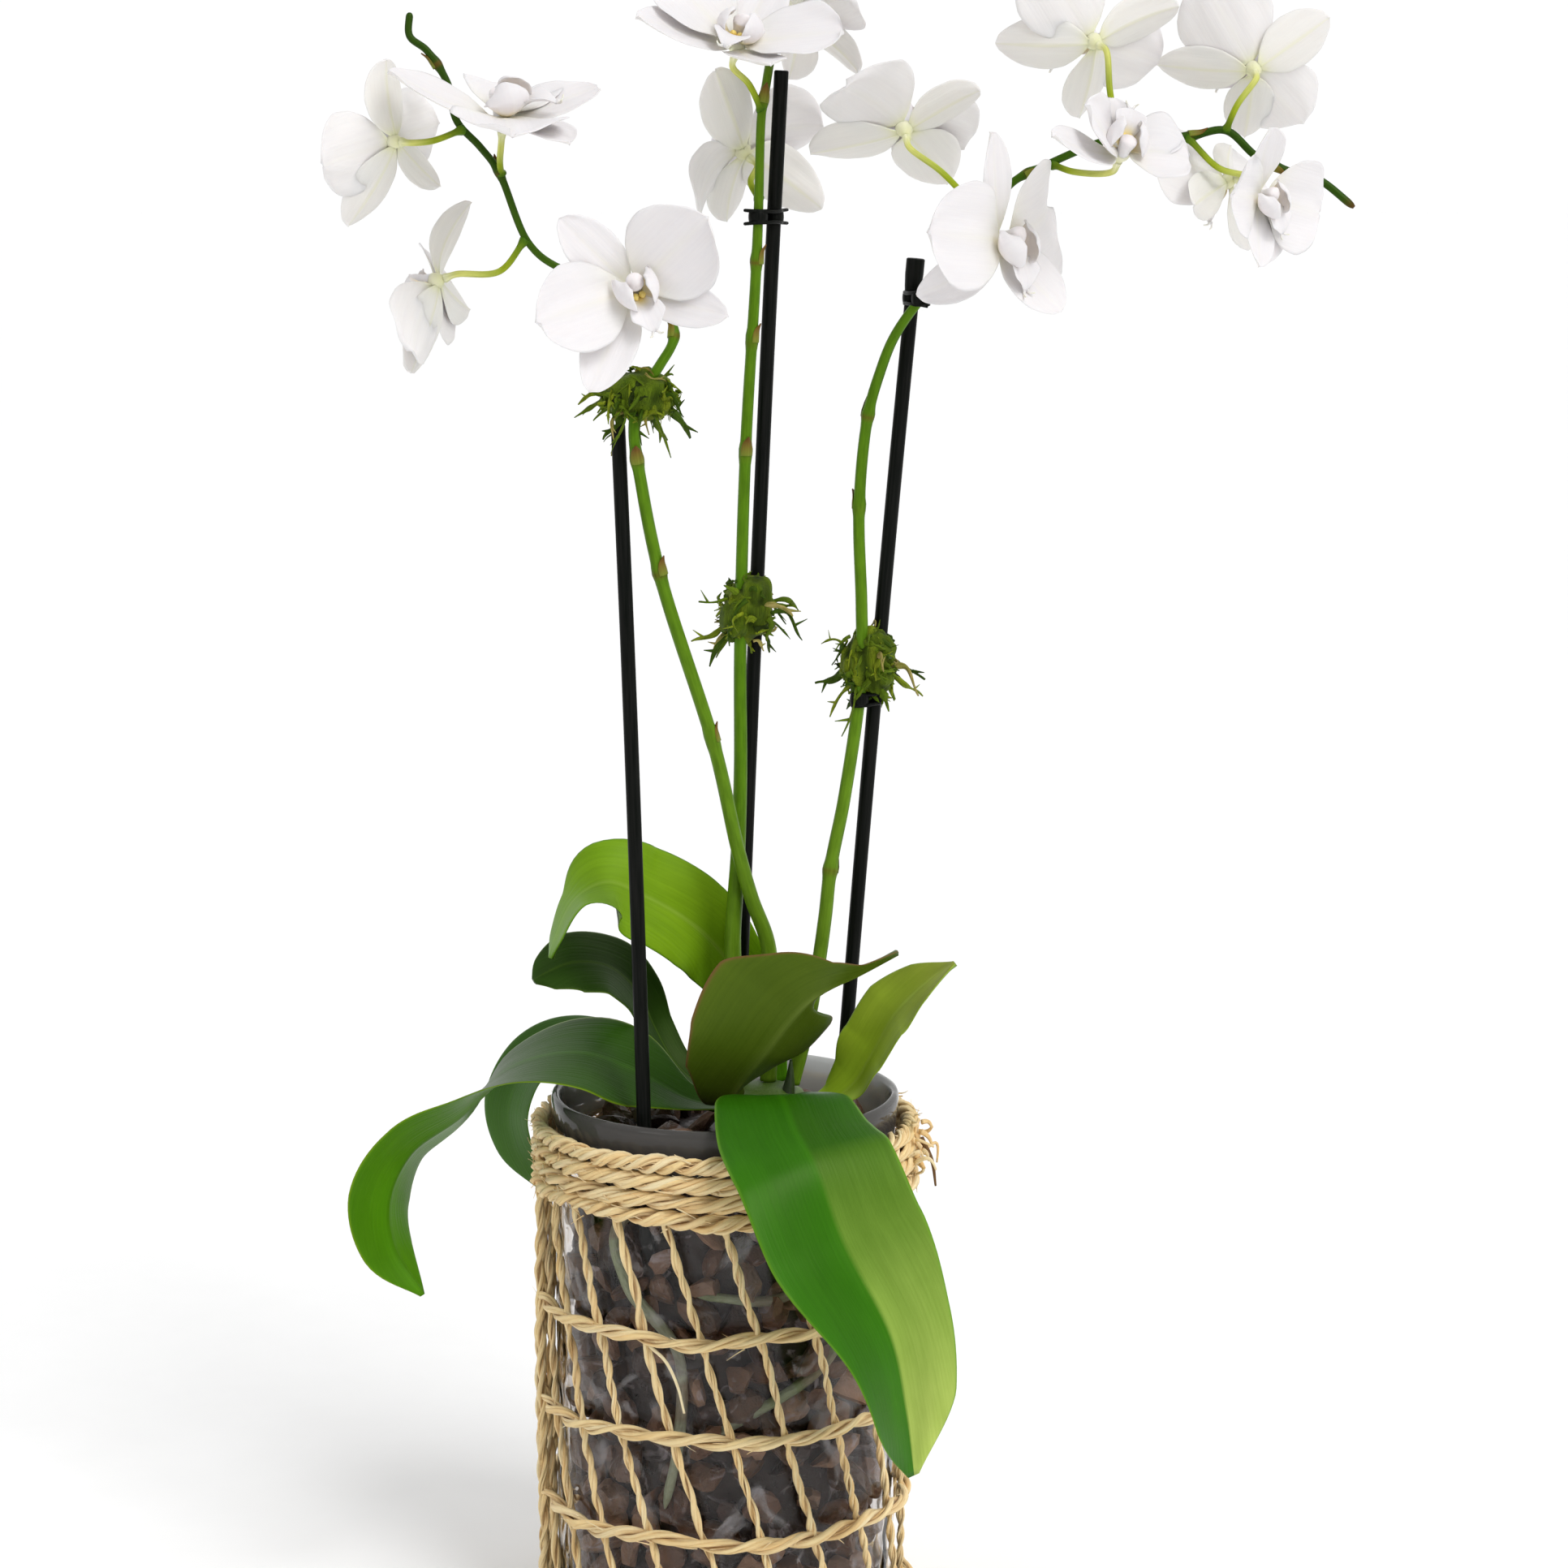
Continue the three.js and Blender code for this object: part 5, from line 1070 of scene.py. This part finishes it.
def blooms():
    for number, (name, (at, face, top, size, _, tepals)) in enumerate(BLOOMS.items()):
        rng = np.random.default_rng(71 + number)
        piece = Piece()
        for k, tepal in enumerate(tepals):
            add_tepal(piece, rng, tepal, k > 2, 10 * number + k)
        add_lip(piece, LIP_WARMTH, number)
        share = steps(10)
        neck = np.stack([0 * share, 0 * share, -NECK_BACK + 6.4 * share], axis=1)
        girth = 1.45 + 1.9 * np.sin(np.pi * np.clip(share * 0.8, 0, 1)) ** 1.4
        tube(piece, neck, girth, 20, blend(blend(VEIN, CREAM, 0.4), CREAM, share), number)
        forward = unit(face)
        upward = unit(np.array(top, float) - forward * forward.dot(top))
        right = np.cross(upward, forward)
        piece.move(np.column_stack([right, upward, forward]) * size, at)
        piece.make(name + "_petals", PETAL, [name])


# Moss ties: middle, size and seed
MOSS_TIES = {
    "moss_left": ((-30, -20, 458), (16, 10, 12), 3),
    "moss_centre": ((9, 4, 379), (12, 11, 15), 7),
    "moss_right": ((53, 5, 360), (13, 11, 16), 9),
}
MOSS_TONES = [linear(c) for c in ("#8E9C22", "#667E14", "#3E5A0A", "#24360A", "#9C8E44", "#B8A868")]


def moss_strand(piece, rng, start, lean, length, thick, colour, seed):
    """A torn strand: flat, bent, and forked at its end."""
    share = steps(14)[:, None]
    sideways = unit(np.cross(lean, rng.normal(0, 1, 3)))
    bend = sideways * np.sin(share * rng.uniform(2, 5)) * length * 0.2
    path = start + lean * length * share + bend + np.array([0, 0, -0.4]) * length * share**2
    size = thick * (1 + 0.5 * drift(rng, 14, 5)) * (1 - 0.75 * share[:, 0] ** 2)
    tube(piece, path, size, 7, colour, seed, 0.45)
    fork = path[9] + (unit(lean + sideways * rng.choice([-1, 1]) * 1.3) * length * 0.35) * share[:8] * 2
    tube(piece, fork, thick * 0.6 * (1 - share[:8, 0] * 1.5), 6, colour, seed + 1, 0.5)


def moss_ties():
    ball, faces = unit_ball(4)
    for number, (name, (at, size, seed)) in enumerate(MOSS_TIES.items()):
        rng = np.random.default_rng(90 + seed)
        at, size = np.array(at, float), np.array(size, float)
        piece = Piece()
        for lump in range(5):
            waves = [(unit(rng.normal(0, 1, 3) * (1, 1, 0.45)) * rng.uniform(3, 11), rng.uniform(0, 6))
                     for _ in range(12)]
            lumps = sum(np.sin(ball @ wave + phase) for wave, phase in waves) / 6
            shift = rng.uniform(-0.42, 0.42, 3) * size if lump else np.zeros(3)
            reach = (0.8 if lump == 0 else rng.uniform(0.4, 0.6)) * size
            points = ball * (0.92 + 0.17 * lumps)[:, None] * reach + at + shift
            # Painted shade and light: each lump is painted darker in its hollows and lighter on its bulges.
            tone = blend(MOSS_TONES[3], MOSS_TONES[1], 0.62 + 0.5 * lumps)
            tone = blend(tone, MOSS_TONES[rng.integers(0, 2)], np.clip(lumps + 0.35, 0, 1) * 0.8)
            place = np.stack([ball[:, 0] * 14, ball[:, 1] * 14, points[:, 2] * 0.8 + 100 * lump], axis=1)
            piece.add(points, faces, tone, place)
        for k in range(90):
            out = unit(rng.normal(0, 1, 3) * np.array([1, 1, 0.9]))
            swirl = unit(np.cross(out, rng.normal(0, 1, 3)))
            start = at + out * size * rng.uniform(0.6, 0.86)
            colour = MOSS_TONES[rng.choice(6, p=[0.3, 0.34, 0.2, 0.06, 0.06, 0.04])] * rng.uniform(0.85, 1.15)
            length = rng.uniform(3, 8)
            moss_strand(piece, rng, start, unit(swirl + 0.25 * out), length, rng.uniform(0.5, 1.3), colour, k)
        for k in range(15):
            azimuth = rng.uniform(0, 360)
            out = unit(around(azimuth, 1, rng.uniform(-1.2, 0.5)))
            start = at + out * size * 0.75
            colour = MOSS_TONES[rng.choice(6, p=[0.25, 0.35, 0.2, 0.05, 0.05, 0.1])]
            moss_strand(piece, rng, start, out, rng.uniform(8, 15), rng.uniform(0.7, 1.4), colour, 200 + k)
        piece.make(name + "_tie", MOSS, [name])


# Clips
CLIPS = {
    "clip_centre": (519.7, "spike_centre", "stake_centre", 5),
    "clip_right": (491, "spike_right", "stake_right", 5),
    "clip_low": (346, "spike_right", "stake_right", 1),
}


def at_height(path, z):
    return path[np.argmin(np.abs(path[:, 2] - z))]


def clips():
    fine = steps(401)
    for name, (z, spike, stake, wing) in CLIPS.items():
        stem = at_height(stem_path(spike, fine), z)
        rod = at_height(Smooth(STAKES[stake]).at(fine), z)
        middle = (stem + rod) / 2
        middle[2] = z
        ahead = unit((rod - stem) * np.array([1, 1, 0]))
        beside = np.cross([0, 0, 1], ahead)
        reach = np.hypot(*(rod - stem)[:2]) / 2 + STAKE_RADIUS + 0.9
        half = STAKE_RADIUS + 1.5
        piece = Piece()
        for level in (-1.7, 1.7):
            turn = np.linspace(0, 2 * np.pi, 65)[:-1]
            x = reach * np.sign(np.cos(turn)) * np.abs(np.cos(turn)) ** 0.8
            x = x + np.sign(x) * wing * bell(np.abs(np.sin(turn)), 0, 0.14)
            y = half * np.sin(turn)
            lift = 0.05 * np.abs(x) * np.sign(level)
            rings = []
            for shrink, height in ((0.93, -0.6), (1, -0.35), (1, 0.35), (0.93, 0.6)):
                rings.append(middle + ahead * (x * shrink)[:, None] + beside * (y * shrink)[:, None]
                             + np.array([0, 0, 1]) * (level + height + lift)[:, None])
            points = np.vstack(rings)
            piece.add(points, ring_faces(4, 64), BLACK, points)
        for centre in (stem, rod):
            share = steps(8)
            hub = np.column_stack([np.full(8, centre[0]), np.full(8, centre[1]), z - 2.2 + 4.4 * share])
            tube(piece, hub, STAKE_RADIUS + 0.9 - 0.3 * (2 * share - 1) ** 2, 24, BLACK)
        piece.make(name + "_body", PLASTIC, [name])


leaves()
stakes()
spikes()
blooms()
moss_ties()
clips()


# Floor, light and camera
ROOM_FRONT, ROOM_BACK = 0.42, 1.02
SUN_POWER, SUN_FROM = 1.5, (0.55, -0.62, 0.95)


def plain_material(name, colour, roughness):
    made = Shader(name, Roughness=roughness)
    speck = made.noise(made.object_place(), 40, 3)
    return made.look(Base_Color=made.ramp(speck, [(0.3, [c * 0.985 for c in colour]), (0.7, colour)]))


def floor():
    bpy.ops.mesh.primitive_plane_add(size=60, location=(0, 20, 0))
    plane = bpy.context.object
    plane.name = "floor"
    plane.data.materials.append(plain_material("pale_floor", (0.97, 0.97, 0.97), 0.8))


def soft_light(name, place, aim, size, power, colour=(1, 1, 1)):
    data = bpy.data.lights.new(name, "AREA")
    data.shape = "DISK"
    data.size = size
    data.energy = power
    data.color = colour
    lamp = bpy.data.objects.new(name, data)
    lamp.location = place
    lamp.rotation_euler = (Vector(aim) - Vector(place)).to_track_quat("-Z", "Y").to_euler()
    bpy.context.scene.collection.objects.link(lamp)


def studio():
    world = bpy.data.worlds.new("studio")
    bpy.context.scene.world = world
    world.use_nodes = True
    nodes, links = world.node_tree.nodes, world.node_tree.links
    place = nodes.new("ShaderNodeTexCoord")
    parts = nodes.new("ShaderNodeSeparateXYZ")
    depth = nodes.new("ShaderNodeMapRange")
    for key, value in (("From Min", -0.3), ("From Max", 0.45), ("To Min", ROOM_FRONT), ("To Max", ROOM_BACK)):
        depth.inputs[key].default_value = value
    links.new(place.outputs["Generated"], parts.inputs[0])
    links.new(parts.outputs["Y"], depth.inputs["Value"])
    links.new(depth.outputs[0], nodes["Background"].inputs["Strength"])
    nodes["Background"].inputs["Color"].default_value = (1, 1, 1, 1)
    data = bpy.data.lights.new("sky_panel", "SUN")
    data.energy = SUN_POWER
    data.angle = math.radians(28)
    panel = bpy.data.objects.new("sky_panel", data)
    panel.rotation_euler = Vector(SUN_FROM).to_track_quat("Z", "Y").to_euler()
    bpy.context.scene.collection.objects.link(panel)
    soft_light("key", (0.9, -1.5, 1.3), (0, 0, 0.3), 0.5, 5)
    soft_light("fill", (-1.4, -1.2, 1.0), (0, 0, 0.35), 0.8, 3)
    bpy.context.scene.view_settings.view_transform = "Standard"


def camera():
    data = bpy.data.cameras.new("camera")
    data.sensor_width = 36
    data.lens = 85.71
    data.clip_start = 0.05
    eye = bpy.data.objects.new("camera", data)
    eye.location = (0.0219, -1.3435, 0.5352)
    eye.rotation_euler = (math.radians(80.7), 0, 0)
    bpy.context.scene.collection.objects.link(eye)
    bpy.context.scene.camera = eye


floor()
studio()
camera()
